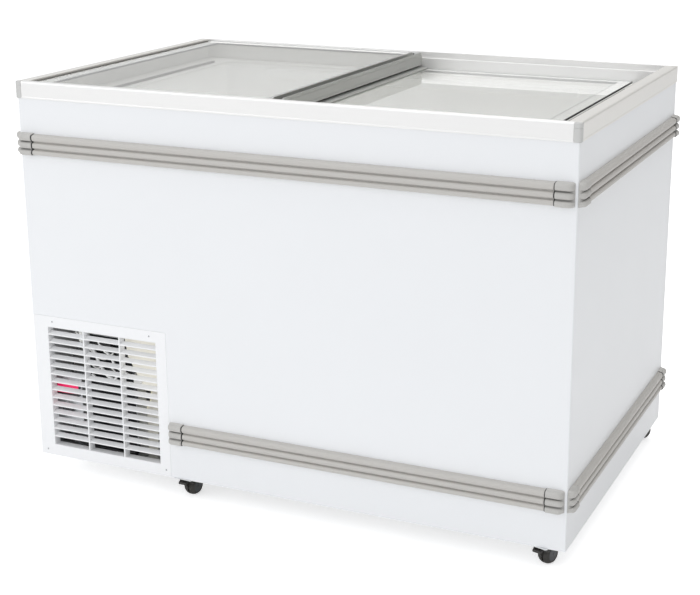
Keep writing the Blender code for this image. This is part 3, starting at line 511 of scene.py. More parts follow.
def make_back_panel():
    """The back sheet with its vent slots and cord hole, its two folds and a louvre over each slot."""
    face = BACK - SHEET
    left, right = LEFT + 0.004, RIGHT - 0.004
    low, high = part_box("cord_inlet")
    cord_hole = arc(((low.x + high.x) / 2, (low.z + high.z) / 2), 0.0105, 0, 348, 29)
    outline = [(left, BOTTOM), (right, BOTTOM), (right, PANEL_TOP), (left, PANEL_TOP)]
    holed_plate([outline] + vent_outlines() + [cord_hole], "Y", face, BACK)
    piece("back_sheet", WHITE, replaces="back_panel", edge=0.0003)
    for side, plan in (
        ("left", folded_plan(BACK, -1, None, left - 0.0001)),
        ("right", folded_plan(BACK, -1, right + 0.0001, None)),
    ):
        sheet_grid(plan, (BOTTOM, PANEL_TOP))
        piece(f"back_sheet_{side}_fold", WHITE, thick=SHEET)
    for row, foot in enumerate(VENT_FEET):
        lip = [(face, foot + VENT_TALL), (face - 0.0045, foot + 0.0045), (face - 0.006, foot)]
        inner = [(y - 0.0009, z + 0.0004) for y, z in reversed(lip)]
        prism(lip + inner, "X", VENT_START - 0.001, VENT_STOP + 0.001)
        piece(f"vent_louvre_{row + 1}", WHITE, edge=0.0003)


def make_screw(name, place):
    """A pan-head screw that faces the front, with a dark cross painted on its head as the shade of a cross recess.
    """
    radius, height, band = 0.0026, 0.0016, 0.35
    profile = [(0.0, 0.0), (radius, 0.0), (radius, height * band)]
    profile += [(radius * cos(a), height * (band + (1 - band) * sin(a))) for a in (0.5, 0.9, 1.2)]
    lathe([(r, -along) for r, along in profile + [(0.0, height)]], place, "Y", 20)
    piece(name, ZINC)
    centre = Vector(place) - Vector((0, height - 0.00025, 0))
    long, short = radius * 0.62, radius * 0.14
    # Painted shade: two dark bars on the solid head stand in for the shaded cross recess.
    for number, size in enumerate((Vector((long, 0.0003, short)), Vector((short, 0.0003, long)))):
        soft_box(centre - size, centre + size, 0.00012, 1)
        piece(f"{name}_recess_shade_{number + 1}", GASKET)


# Top frame

SKIRT = FRAME_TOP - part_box("corner_cap_left")[0].z
TRACK_FLANGE = 0.010
TRACK_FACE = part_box("frame_front")[1].y - FRONT
END_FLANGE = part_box("frame_left")[1].x - LEFT
UPPER_TRACK = 0.0143
TRACK_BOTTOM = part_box("frame_front")[0].z - FRAME_TOP
WALL = 0.0015
CAP_REACH = 0.0115
CAP_DEEP = 0.010


def groove(place, width, depth, across):
    """A small V-groove in a profile; across says whether it lies on a flat top or an upright face."""
    along, height = place
    if across:
        return [(along - width / 2, height), (along, height - depth), (along + width / 2, height)]
    return [(along, height - width / 2), (along + depth, height), (along, height + width / 2)]


def outer_edge(flange, lip_inset):
    """Skirt with a drawn bead near its foot, the round top edge, and a groove near the flange's lip."""
    radius = 0.004
    foot = [(-FRAME_PROUD, -SKIRT)] + groove((-FRAME_PROUD, -SKIRT + 0.0040), 0.0010, 0.0004, False)
    lip = groove((flange - lip_inset, 0.0), 0.0009, 0.0004, True)
    return foot + arc((radius - FRAME_PROUD, -radius), radius, 180, 90, 8) + lip


def track_profile():
    """The front and back members: skirt, top, and two tracks one below the other."""
    level, inner, floor = -UPPER_TRACK, TRACK_FACE - WALL, -UPPER_TRACK - WALL
    bead, bead_top = TRACK_FACE - 0.003, level + 0.0012
    profile = outer_edge(TRACK_FLANGE, 0.0022) + [(TRACK_FLANGE, 0), (TRACK_FLANGE, level), (bead, level)]
    profile += [(bead, bead_top), (TRACK_FACE, bead_top), (TRACK_FACE, TRACK_BOTTOM)]
    profile += [(inner, TRACK_BOTTOM), (inner, floor)]
    profile += [(TRACK_FLANGE - WALL, floor), (TRACK_FLANGE - WALL, -WALL), (-GAP, -WALL)]
    return profile + [(-GAP, -SKIRT)]


def end_profile():
    """The left and right members: skirt, top and a plain inner wall."""
    inner = END_FLANGE - WALL
    profile = outer_edge(END_FLANGE, 0.0030) + [(END_FLANGE, 0), (END_FLANGE, TRACK_BOTTOM)]
    return profile + [(inner, TRACK_BOTTOM), (inner, -WALL), (-GAP, -WALL), (-GAP, -SKIRT)]


def corner_piece(name, side, depth_side, proud, material, edge, replaces=None):
    """A corner block: its whole top, and below that only the walls outside the sheets."""
    corner_x, corner_y = LEFT if side < 0 else RIGHT, FRONT if depth_side < 0 else BACK
    radius = 0.0055
    curve = arc((proud - radius, proud - radius), radius, 0, 90, 8)
    top = [(-CAP_REACH, -CAP_DEEP), (proud, -CAP_DEEP)] + curve + [(-CAP_REACH, proud)]
    walls = [(GAP, -CAP_DEEP), (proud, -CAP_DEEP)] + curve
    walls += [(-CAP_REACH, proud), (-CAP_REACH, GAP), (GAP, GAP)]
    for outline, bottom, ceiling in (
        (top, PANEL_TOP + GAP, FRAME_TOP - GAP),
        (walls, FRAME_TOP - SKIRT, PANEL_TOP + 2 * GAP),
    ):
        prism([(corner_x + side * x, corner_y + depth_side * y) for x, y in outline], "Z", bottom, ceiling)
    piece(name, material, replaces=replaces, edge=edge, steps=3)


def make_top_frame():
    for name, face, inward in (("front", FRONT, 1), ("back", BACK, -1)):
        def long_ends(a, b, face=face, inward=inward):
            depth = inward * (a - face)
            in_flange = depth < TRACK_FLANGE + 0.0001 and b > FRAME_TOP - UPPER_TRACK / 2
            back_off = GAP + (CAP_REACH if in_flange or depth < 0 else END_FLANGE)
            return LEFT + back_off, RIGHT - back_off
        outline = [(face + inward * depth, FRAME_TOP + height) for depth, height in track_profile()]
        prism(outline, "X", 0, 0, long_ends)
        piece(f"frame_{name}_extrusion", FRAME_ALONG_X, replaces=f"frame_{name}", edge=0.0003)
    for name, face, inward in (("left", LEFT, 1), ("right", RIGHT, -1)):
        outline = [(face + inward * depth, FRAME_TOP + height) for depth, height in end_profile()]
        prism(outline, "Y", FRONT + CAP_DEEP + GAP, BACK - CAP_DEEP - GAP)
        piece(f"frame_{name}_extrusion", FRAME_ALONG_Y_SHADED, replaces=f"frame_{name}", edge=0.0003)
    for side, hand in ((-1, "left"), (1, "right")):
        cap = f"corner_cap_{hand}"
        corner_piece(cap + "_moulding", side, -1, 0.003, CAP_PLASTIC, 0.0016, cap)
        corner_piece(f"back_corner_{hand}", side, 1, FRAME_PROUD, FRAME_ALONG_Y_SHADED, 0.0014)


# Collar and liner

def make_collar():
    """The ledge round the well: moulding, stop beads, a dark fill in the left gap, lining and ledge track; the
    beads, the fill and the track are painted shade, a darkened copy of the collar plastic.
    """
    low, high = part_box("breaker_collar")
    top = FRAME_TOP + TRACK_BOTTOM - GAP
    lap = 0.004
    well_low, well_high = (LINER_LEFT + lap, LINER_FRONT + lap), (LINER_RIGHT - lap, LINER_BACK - lap)
    outer = [(low.x, low.y), (high.x, low.y), (high.x, high.y), (low.x, high.y)]
    holed_plate([outer, rounded_rectangle(well_low, well_high, 0.020)], "Z", low.z, top)
    piece("collar_moulding", COLLAR_PLASTIC, replaces="breaker_collar", edge=0.0006)
    for side, centre in (("left", LEFT + 0.0915), ("right", RIGHT - 0.0915)):
        bead = arc((centre, top + 0.0042), 0.0018, 0, 180, 8)
        bead += [(centre - 0.002, top - 0.001), (centre + 0.002, top - 0.001)]
        prism(bead, "Y", FRONT + 0.10, BACK - 0.10)
        # The stop beads take the darkened collar copy: painted shade.
        piece(f"{side}_stop_bead", COLLAR_SHADE_GREY, edge=0.0008)
    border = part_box("upper_lid_border")[0]
    start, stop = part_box("frame_left")[1].x, border.x
    near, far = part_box("frame_front")[1].y + GAP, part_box("frame_back")[0].y - GAP
    lining_top = border.z - 0.0015
    # Painted shade: a dark box fills the gap between the left member and the upper lid's border, where only shade
    # lies.
    soft_box((start + GAP, near, lining_top + GAP), (stop - GAP, far, FRAME_TOP - 0.0025), 0.0006)
    piece("left_gap_shade_fill", COLLAR_SHADE_GREY)
    soft_box((start + GAP, near, top + GAP), (stop - GAP, far, lining_top), 0.0006)
    handle_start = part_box("upper_lid_handle")[0].x
    soft_box((stop, far - 0.0008, top + GAP), (handle_start, far, lining_top), 0.0003, 2)
    piece("well_lining", COLLAR_PLASTIC)
    start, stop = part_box("lower_lid_border")[1].x + 0.003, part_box("frame_right")[0].x - GAP
    sunk, level = top - 0.0005, top + 0.0015
    track = [(start, sunk), (start, level)]
    for share in (0.12, 0.30, 0.74, 0.90):
        track += groove((start + (stop - start) * share, level), 0.0030, 0.0013, True)
    prism(track + [(stop, level), (stop, sunk)], "Y", near, far)
    # The track's dark grey is painted shade: it is the collar's top, lying in shade beside the lower lid.
    piece("right_ledge_track", COLLAR_SHADE_GREY, edge=0.0002)


def liner_section(inset, top):
    """The stepped tub seen from the front, its walls drawn in by inset; corners keep one centre."""
    radius = 0.022
    floor, hump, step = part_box("inner_liner")[0].z + LINER_WALL, 0.440, LEFT + 0.400
    hollow, proud = radius - inset, radius + inset
    outline = arc((LINER_LEFT + radius, hump + radius), hollow, 180, 270, 7)
    outline += arc((step - radius, hump - radius), proud, 90, 0, 7)
    outline += arc((step + radius, floor + radius), hollow, 180, 270, 7)
    outline += arc((LINER_RIGHT - radius, floor + radius), hollow, 270, 360, 7)
    return outline + [(LINER_RIGHT - inset, top), (LINER_LEFT + inset, top)]


def make_liner():
    """The pressed liner: a stepped tub with generous corners, a flange, and a long swage front and back."""
    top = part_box("inner_liner")[1].z
    rings = []
    turns = [radians(90 * step / 7) for step in range(8)]
    for angle in turns + turns[::-1]:
        inset, depth = (0.0218 * (1 - turned) for turned in (sin(angle), cos(angle)))
        place = LINER_FRONT + depth if len(rings) < len(turns) else LINER_BACK - depth
        rings.append([Vector((x, place, z)) for x, z in liner_section(inset, top)])
    loft(rings)
    tops = [f for f in work.faces if all(abs(v.co.z - top) < 1e-5 for v in f.verts)]
    bmesh.ops.delete(work, geom=tops, context="FACES_ONLY")
    bmesh.ops.recalc_face_normals(work, faces=work.faces)
    bmesh.ops.reverse_faces(work, faces=work.faces)
    rim = bmesh.ops.extrude_edge_only(work, edges=[e for e in work.edges if e.is_boundary])["geom"]
    flange = 0.0118
    for axis, start, stop in ((0, LINER_LEFT, LINER_RIGHT), (1, LINER_FRONT, LINER_BACK)):
        centre = (start + stop) / 2
        for vertex in (g for g in rim if isinstance(g, bmesh.types.BMVert)):
            vertex.co[axis] = centre + (vertex.co[axis] - centre) * (1 + 2 * flange / (stop - start))
    piece("liner_tub", LINER_WHITE, replaces="inner_liner", thick=LINER_WALL)
    height, radius, inset = 0.813, 0.0128, 0.206
    for side, face, out in (("front", LINER_FRONT, 1), ("back", LINER_BACK, -1)):
        rings = []
        for grow, proud in ((0.0, 0.0), (-0.0010, 0.0034), (-0.0030, 0.0056), (-0.0065, 0.0060)):
            reach = radius + grow
            low, high = (LEFT + inset - grow, height - reach), (RIGHT - inset + grow, height + reach)
            outline = rounded_rectangle(low, high, reach, 8)
            rings.append([Vector((x, face + out * proud, z)) for x, z in outline])
        loft(rings)
        piece(f"liner_{side}_upper_swage", LINER_WHITE)


# Lids

def frame_outline(start, stop, near, far, side_width, end_width, open_at_start):
    """A border along three edges of a lid, open at the end where the lids meet."""
    mouth, end, inner = (start, stop, stop - end_width) if open_at_start else (stop, start, start + end_width)
    outline = [(mouth, near), (end, near), (end, far), (mouth, far), (mouth, far - side_width)]
    return outline + [(inner, far - side_width), (inner, near + side_width), (mouth, near + side_width)]


def make_border(name, body, end_width, open_at_start):
    """The lid's border and the thin dark gasket on its inner edge."""
    low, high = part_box(name)
    side_width, bead = 0.018, 0.0016
    outline = frame_outline(low.x, high.x, low.y, high.y, side_width, end_width, open_at_start)
    prism(outline, "Z", low.z, high.z)
    piece(name + "_moulding", BORDER_PLASTIC, body, name, edge=0.0004)
    start = low.x if open_at_start else low.x + end_width + GAP
    stop = high.x - end_width - GAP if open_at_start else high.x
    near, far = low.y + side_width + GAP, high.y - side_width - GAP
    strip = frame_outline(start, stop, near, far, bead, bead, open_at_start)
    prism(strip, "Z", low.z + 0.0006, high.z - 0.0002)
    piece(name + "_gasket", GASKET, body, edge=0.0003)


def make_glass(name, body):
    soft_box(*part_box(name), 0.0011)
    piece(name + "_pane", GLASS, body, name)


def rounded_end_prism(outline, near, far, top, radius, steps=8):
    """Extrude an (x, z) outline along Y, its top corners rounded off at both ends."""
    rings = []
    stations = [(radius * (1 - cos(pi / 2 * i / steps))) for i in range(steps + 1)]
    for place in [near + d for d in stations] + [far - d for d in reversed(stations)]:
        depth = min(place - near, far - place, radius)
        ceiling = top - radius + sqrt(max(0.0, radius ** 2 - (radius - depth) ** 2))
        rings.append([Vector((x, place, min(z, ceiling))) for x, z in outline])
    loft(rings)


def make_handle():
    """The grab channel between the lids, with a drawn line down its outer wall and a turned-in lip."""
    low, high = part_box("upper_lid_handle")
    right, top, bottom = high.x, high.z, low.z
    left = right - 0.024
    wall, soft = 0.002, 0.0006
    ledge_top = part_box("upper_lid_glass")[0].z - GAP
    ledge_bottom = ledge_top - wall
    outline = [(left, top - 0.0004), (left, ledge_top), (low.x, ledge_top), (low.x, ledge_bottom)]
    outline += [(left, ledge_bottom), (left, bottom), (right, bottom)]
    for height in (bottom + 0.0060, bottom + 0.0225):
        outline += [(right, height - 0.0005), (right - 0.0005, height), (right, height + 0.0005)]
    lip = right - wall
    outline += [(right, top - soft), (right - soft, top), (lip + soft, top), (lip, top - soft)]
    outline += [(lip, bottom + wall), (left + wall, bottom + wall), (left + wall, top - 0.0004)]
    rounded_end_prism(outline, low.y, high.y, top, 0.008)
    bmesh.ops.remove_doubles(work, verts=work.verts, dist=1e-6)
    piece("handle_channel", HANDLE_METAL, "upper_lid", "upper_lid_handle", edge=0.0003)
    low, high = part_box("lid_wiper_seal")
    middle = (low.x + high.x) / 2
    for centre in (middle - 0.0045, middle - 0.0015, middle + 0.0015, middle + 0.0045):
        lip = [(centre - 0.0006, high.z), (centre - 0.0002, low.z), (centre + 0.0004, low.z)]
        prism(lip + [(centre + 0.0006, high.z)], "Y", low.y, high.y)
    strip_foot = high.z - 0.0012
    strip = [(low.x, strip_foot), (high.x, strip_foot), (high.x, high.z), (low.x, high.z)]
    prism(strip, "Y", low.y, high.y)
    piece("wiper_lips", BLACK_RUBBER, "upper_lid", "lid_wiper_seal")


def make_inner_profile():
    """The channel on the lower pane's inner edge, grooved along its top."""
    low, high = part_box("lower_lid_inner_profile")
    glass_low, glass_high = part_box("lower_lid_glass")
    web_x = glass_low.x - GAP
    start, stop, top = low.x, high.x, high.z
    under, over = glass_low.z - GAP, glass_high.z + GAP
    outline = [(start, top - 0.0008), (start, low.z), (stop, low.z), (stop, under), (web_x, under)]
    outline += [(web_x, over), (stop, over), (stop, top - 0.0012), (stop - 0.0035, top - 0.0002)]
    for edge in (stop - 0.0075, stop - 0.0170, stop - 0.0280):
        floor = top - 0.0009
        outline += [(edge, top), (edge - 0.0005, floor), (edge - 0.0015, floor), (edge - 0.002, top)]
    prism(outline + [(start + 0.0008, top)], "Y", low.y, high.y)
    piece("inner_profile", HANDLE_METAL, "lower_lid", "lower_lid_inner_profile", edge=0.0002)


def make_lids():
    make_border("upper_lid_border", "upper_lid", 0.030, False)
    make_border("lower_lid_border", "lower_lid", 0.028, True)
    make_glass("upper_lid_glass", "upper_lid")
    make_glass("lower_lid_glass", "lower_lid")
    make_handle()
    make_inner_profile()


# Bumpers

def lobes(tall, proud, notch, swell=1.0, slit=0.0026, steps=12):
    """Section of a rail or cap: a flat back and three round lobes, as (outward, height from its middle)."""
    heights = (0.36, 0.34, 0.30)
    section = [(0.0, -tall / 2)]
    foot = -tall / 2
    for share, bulge in zip(reversed(heights), (1.0, swell, 1.0)):
        lobe = tall * share
        base = proud * bulge - notch
        for outward, rise in arc((0, 0), 1.0, -87, 87, steps):
            height = foot + lobe / 2 + (lobe - slit) / 2 * rise
            section.append((base + notch * outward ** 0.6, height))
        foot += lobe
    section.append((0.0, tall / 2))
    return section


def bumper_place(side, along, outward, height):
    if side == "front":
        return Vector((along, FRONT - GAP - outward, height))
    return Vector((LEFT - GAP - outward if side == "left" else RIGHT + GAP + outward, along, height))


def bumper_size(node, side):
    """Where a bumper part starts and stops along its side, its middle height, how tall and how proud."""
    low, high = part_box(node)
    proud = {"front": FRONT - GAP - low.y, "left": LEFT - GAP - low.x, "right": high.x - RIGHT - GAP}[side]
    axis = 0 if side == "front" else 1
    return low[axis], high[axis], (low.z + high.z) / 2, high.z - low.z, proud


def bumper_loft(side, stations, middle):
    """Skin sections along a rail; each station holds a bow function of height and a section."""
    loft([
        [bumper_place(side, along(rise), outward, middle + rise) for outward, rise in section]
        for along, section in stations
    ])


RAIL_NOTCH = 0.0078


def make_rail(node, side):
    """A rail with slightly hollow ends, which the caps' round ends fit."""
    first, last, middle, tall, proud = bumper_size(node, side)
    section = lobes(tall, proud, RAIL_NOTCH)
    bow = lambda rise: 0.0016 * (1 - (2 * rise / tall) ** 2)
    ends = (lambda rise: first + bow(rise)), (lambda rise: last - bow(rise))
    bumper_loft(side, [(end, section) for end in ends], middle)
    piece(node + "_extrusion", BUMPER_GREY, replaces=node, edge=0.0003)


def make_cap(node, side, open_end):
    """A moulded end cap, rounded off at its free end; open_end is +1 where the rail is on its + side."""
    first, last, middle, tall, proud = bumper_size(node, side)
    free, joint = (first, last) if open_end > 0 else (last, first)
    radius, finger_gap, bulge, slit = 0.011, 0.0095, 0.93, 0.0026
    stations = []
    for step in range(9):
        angle = pi / 2 * step / 8
        reach = radius * (1 - cos(angle))
        swell = sin(max(angle, 0.12))
        narrow = 1 - 0.13 * (1 - sin(angle)) ** 1.5
        tip = lobes(tall, proud, RAIL_NOTCH, bulge, slit + finger_gap * (1 - swell) ** 1.3)
        shaped = [(outward * (0.16 + 0.84 * swell), rise * narrow) for outward, rise in tip]
        stations.append((lambda rise, r=reach: free + open_end * r, shaped))
    bow = lambda rise: 0.00056 * (1 - (2 * rise / tall) ** 2)
    for back, shrink in ((0.0012, 1.0), (0.0003, 0.985), (0.0, 0.955)):
        section = lobes(tall, proud, RAIL_NOTCH, bulge)
        shaped = [(outward * shrink, rise * (0.5 + shrink / 2)) for outward, rise in section]
        stations.append((lambda rise, b=back: joint - open_end * (b - bow(rise) + 0.0006), shaped))
    bumper_loft(side, stations, middle)
    piece(node + "_moulding", BUMPER_CAP, replaces=node)


def make_joint(name, side, cap_end, rail_end, middle, tall, proud):
    """The dark gasket that fills the bowed gap between a cap and its rail."""
    section = [(outward * 1.04, rise * 1.01) for outward, rise in lobes(tall, proud, 0.0050)]
    reach = 0.0006 if rail_end > cap_end else -0.0006
    start, stop = cap_end - reach * 0.3, rail_end + reach
    bumper_loft(side, ((lambda rise: start, section), (lambda rise: stop, section)), middle)
    piece(name, BLACK_RUBBER)


def make_bumpers():
    for name, side in (
        ("upper_front_bumper", "front"),
        ("upper_left_bumper", "left"),
        ("upper_right_bumper", "right"),
        ("lower_front_bumper", "front"),
        ("lower_right_bumper", "right"),
    ):
        make_rail(name + "_rail", side)
        near_end, far_end = ("left", "right") if side == "front" else ("front", "back")
        make_cap(f"{name}_cap_{near_end}", side, 1)
        make_cap(f"{name}_cap_{far_end}", side, -1)
        first, last, *size = bumper_size(name + "_rail", side)
        near_cap_end = bumper_size(f"{name}_cap_{near_end}", side)[1]
        far_cap_end = bumper_size(f"{name}_cap_{far_end}", side)[0]
        make_joint(f"{name}_{near_end}_joint", side, near_cap_end, first, *size)
        make_joint(f"{name}_{far_end}_joint", side, far_cap_end, last, *size)


# Grille

FIELD_START = LEFT + 0.0385
FIELD_STOP = LEFT + 0.311
FIELD_TOP = 0.351
LOUVRE_PITCH = 0.0183
LOUVRE_ROWS = 15
FIELD_BOTTOM = FIELD_TOP - LOUVRE_PITCH * LOUVRE_ROWS
FIELD_BACK = GRILLE[1].y
COLUMN = (FIELD_STOP - FIELD_START) / 3
BAR = 0.003
GRILLE_SHEET = 0.0015


def slat_section(height):
    """A slat seen from the side: a rolled lip, then a blade that curves up and inward."""
    front, reach, rise, thick, nose = FRONT + 0.0005, 0.0124, 0.0048, 0.0012, 0.0014
    curve = lambda d: rise * (d / reach) ** 1.1
    depths = [nose + (reach - nose) * step / 6 for step in range(7)]
    top = [(front + d, height + 2 * nose + curve(d) - curve(nose)) for d in depths]
    bottom = [(front + d, height + 2 * nose - thick + curve(d) - curve(nose)) for d in reversed(depths[1:])]
    lip = arc((front + nose, height + nose), nose, 270, 90, 8)
    return bottom + [(front + nose, height)] + lip[1:-1] + top


def make_grille():
    """The louvred panel: sheet, framed field, two bars and fourteen slats in each column."""
    in_field = lambda x, z: FIELD_START < x < FIELD_STOP and FIELD_BOTTOM < z < FIELD_TOP
    plan = folded_plan(FRONT, 1, None, GRILLE[1].x, breaks=(FIELD_START, FIELD_STOP))
    sheet_grid(plan, (BOTTOM, FIELD_BOTTOM, FIELD_TOP, GRILLE[1].z), lambda x, z: not in_field(x, z))
    piece("grille_sheet", GRILLE_WHITE, replaces="louvred_grille", thick=GRILLE_SHEET, edge=0.0005)
    wall = 0.0015
    low, high = (FIELD_START - wall, FIELD_BOTTOM - wall), (FIELD_STOP + wall, FIELD_TOP + wall)
    outer = rounded_rectangle(low, high, 0.0016, 3)
    inner = rounded_rectangle((FIELD_START, FIELD_BOTTOM), (FIELD_STOP, FIELD_TOP), 0.0012, 3)
    holed_plate([outer, inner], "Y", FRONT + GRILLE_SHEET - 0.0002, FIELD_BACK)
    piece("grille_field_wall", GRILLE_WHITE, edge=0.0003)
    for number in (1, 2):
        middle = FIELD_START + COLUMN * number
        low = (middle - BAR / 2, FRONT + 0.0002, FIELD_BOTTOM - wall / 2)
        soft_box(low, (middle + BAR / 2, FIELD_BACK - 0.0005, FIELD_TOP + wall / 2), 0.0008)
    piece("grille_bars", GRILLE_WHITE)
    for column in range(3):
        start = FIELD_START + COLUMN * column + (BAR / 2 if column else -wall / 2) - 0.0002
        stop = FIELD_START + COLUMN * (column + 1) - (BAR / 2 if column < 2 else -wall / 2) + 0.0002
        for row in range(1, LOUVRE_ROWS):
            prism(slat_section(FIELD_TOP - LOUVRE_PITCH * row), "X", start, stop)
        piece(f"grille_slats_{column + 1}", GRILLE_WHITE, edge=0.0002)
    screws = ((0.051, 0.364), (0.296, 0.364), (0.019, 0.063), (0.325, 0.065))
    for number, (across, height) in enumerate(screws):
        make_screw(f"grille_screw_{number + 1}", (LEFT + across, FRONT + 0.0009, height))


# Machine compartment

def make_condenser():
    """Fin stack with a serpentine tube and end plates."""
    low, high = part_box("condenser")
    fins, plate = 52, 0.0015
    for number in range(fins):
        x = low.x + 0.004 + (high.x - low.x - 0.008) * number / (fins - 1)
        fin_low, fin_high = (x - 0.00015, low.y + 0.003, low.z + 0.003), (x + 0.00015, high.y, high.z - 0.003)
        soft_box(fin_low, fin_high, 0.0001, 1)
    piece("condenser_fins", COIL_BLACK, replaces="condenser")
    for x in (low.x, high.x - plate):
        soft_box((x, low.y + 0.002, low.z), (x + plate, high.y, high.z), 0.0005, 2)
    for z in (low.z, high.z - plate):
        soft_box((low.x, low.y + 0.002, z), (high.x, high.y, z + plate), 0.0005, 2)
    piece("condenser_end_plates", GALVANISED)
    ends = [low.x + 0.006, high.x - 0.006]
    points = []
    for row in range(9):
        z = low.z + (high.z - low.z) / 9 * (row + 0.5)
        start, stop = ends if row % 2 == 0 else ends[::-1]
        points += [(x, low.y + 0.0035, z) for x in (start, (start + stop) / 2, stop)]
    tube("condenser_tube", points, 0.0032, COIL_BLACK)


def make_shroud():
    """The cream plate behind the grille with its duct ring and ribs, and the air guide beside the coil."""
    low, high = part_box("fan_shroud")
    x, y, z = FAN_CENTRE
    front = y - 0.018
    corner = 0.012
    top = high.z - corner
    outline = [(low.x, low.z), (LEFT + 0.252, low.z), (LEFT + 0.262, 0.205), (high.x, 0.238), (high.x, top)]
    outline += arc((high.x - corner, top), corner, 0, 90, 5)[1:]
    outline += arc((low.x + corner, top), corner, 90, 180, 5)
    holed_plate([outline, arc((x, z), FAN_RADIUS, 0, 354, 59)], "Y", front, front + 0.002)
    piece("shroud_plate", SHROUD_CREAM, replaces="fan_shroud", edge=0.0005)
    ring = [(0.0, 0.0), (0.0, 0.026), (0.0006, 0.028), (0.002, 0.028), (0.002, 0.003), (0.0035, 0.0015)]
    ring += [(0.0035, 0.0), (0.0, 0.0)]
    lathe([(FAN_RADIUS + wider, along) for wider, along in ring], (x, front, z), "Y", 72)
    piece("shroud_duct_ring", SHROUD_CREAM)
    for height in (0.330, 0.300):
        far_corner = (high.x - 0.006, front + 0.001, height + 0.003)
        soft_box((LEFT + 0.238, front - 0.003, height), far_corner, 0.0009)
    piece("shroud_ribs", SHROUD_CREAM)
    front = FRONT + 0.0285
    outline = [(LEFT + 0.216, 0.340), (LEFT + 0.222, 0.300), (LEFT + 0.262, 0.228), (LEFT + 0.318, 0.228)]
    prism(outline + arc((LEFT + 0.310, 0.332), 0.008, 0, 90, 5), "Y", front, front + 0.0015)
    for height in (0.318, 0.286, 0.254):
        low = (LEFT + 0.262, front - 0.0012, height)
        soft_box(low, (LEFT + 0.312, front + 0.0005, height + 0.003), 0.0005, 2)
    piece("air_guide", SHROUD_CREAM, edge=0.0005)


def make_fan():
    """Hub and five twisted, swept blades."""
    x, y, z = FAN_CENTRE
    hub = [(0.0, -0.008), (0.015, -0.0078), (0.0185, -0.006), (0.020, -0.002), (0.020, 0.008), (0.0, 0.008)]
    lathe(hub, FAN_CENTRE, "Y", 40)
    blades, root, tip = 5, 0.016, 0.0665
    blade_section = ((-1, 0.0), (-0.5, 0.0009), (0.2, 0.0016), (1, 0.0002), (0.2, 0.0006), (-0.5, 0.0001))
    for number in range(blades):
        rings = []
        for step in range(9):
            share = step / 8
            reach = root + (tip - root) * share
            pitch = radians(24 - 11 * share)
            half_chord = 0.014 + 0.0065 * sin(pi * (0.2 + 0.6 * share))
            lean = radians(-6 + 26 * share ** 1.3)
            ring = []
            for across, thick in blade_section:
                chord, camber = across * half_chord, 0.0022 * (1 - across ** 2) + thick
                tangent = chord * cos(pitch) - camber * sin(pitch)
                depth = chord * sin(pitch) + camber * cos(pitch) - 0.001
                angle = tau * number / blades + lean + tangent / max(reach, 0.03)
                ring.append(Vector((x + reach * cos(angle), y + depth, z + reach * sin(angle))))
            rings.append(ring)
        loft(rings)
    piece("fan_impeller", BLADE_METAL, "fan", "fan_blade")


def make_compressor():
    """Sealed can with its weld flange, terminal cover, stub pipes and a foot on rubber grommets."""
    low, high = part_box("compressor")
    x, y, foot = (low.x + high.x) / 2, COMPRESSOR_Y, low.z
    can = [(0.0, 0.236)] + arc((0.036, 0.198), 0.038, 90, 0, 10)
    can += [(0.0742, 0.156), (0.0790, 0.1535), (0.0800, 0.151), (0.0800, 0.148), (0.0790, 0.1465)]
    can += [(0.0745, 0.144), (0.0738, 0.088)]
    turns = [radians(15 * step) for step in range(7)]
    can += [(0.050 + 0.0238 * cos(a), 0.086 - 0.022 * sin(a)) for a in turns] + [(0.0, 0.064)]
    lathe(can, (x, y, 0), "Z", 64)
    piece("compressor_can", MACHINE_BLACK, replaces="compressor")
    soft_box((low.x, y - 0.062, foot + 0.003), (high.x, y + 0.062, 0.062), 0.0025)
    piece("compressor_foot", MACHINE_BLACK)
    grommet = [(0.0, foot), (0.010, foot), (0.011, foot + 0.002), (0.008, foot + 0.005), (0.008, 0.0625)]
    grommet += [(0.0095, 0.064), (0.008, 0.0665), (0.0, 0.067)]
    for side_x in (-0.072, 0.072):
        for side_y in (-0.050, 0.050):
            lathe(grommet, (x + side_x, y + side_y, 0), "Z", 20)
    piece("compressor_grommets", BLACK_RUBBER)
    soft_box((x - 0.026, y - 0.098, 0.100), (x + 0.026, y - 0.068, 0.146), 0.005)
    piece("terminal_cover", KNOB_BLACK)
    for number, (turn, height) in enumerate(((25, 0.190), (150, 0.170), (205, 0.120))):
        out = Vector((cos(radians(turn)), sin(radians(turn)), 0))
        start = Vector((x, y, height)) + out * 0.068
        runs = ((0.0, 0.0), (0.020, 0.0), (0.026, 0.030), (0.016, 0.075))
        points = [start + out * outward + Vector((0, 0, rise)) for outward, rise in runs]
        tube(f"compressor_pipe_{number + 1}", points, 0.0032, COPPER)


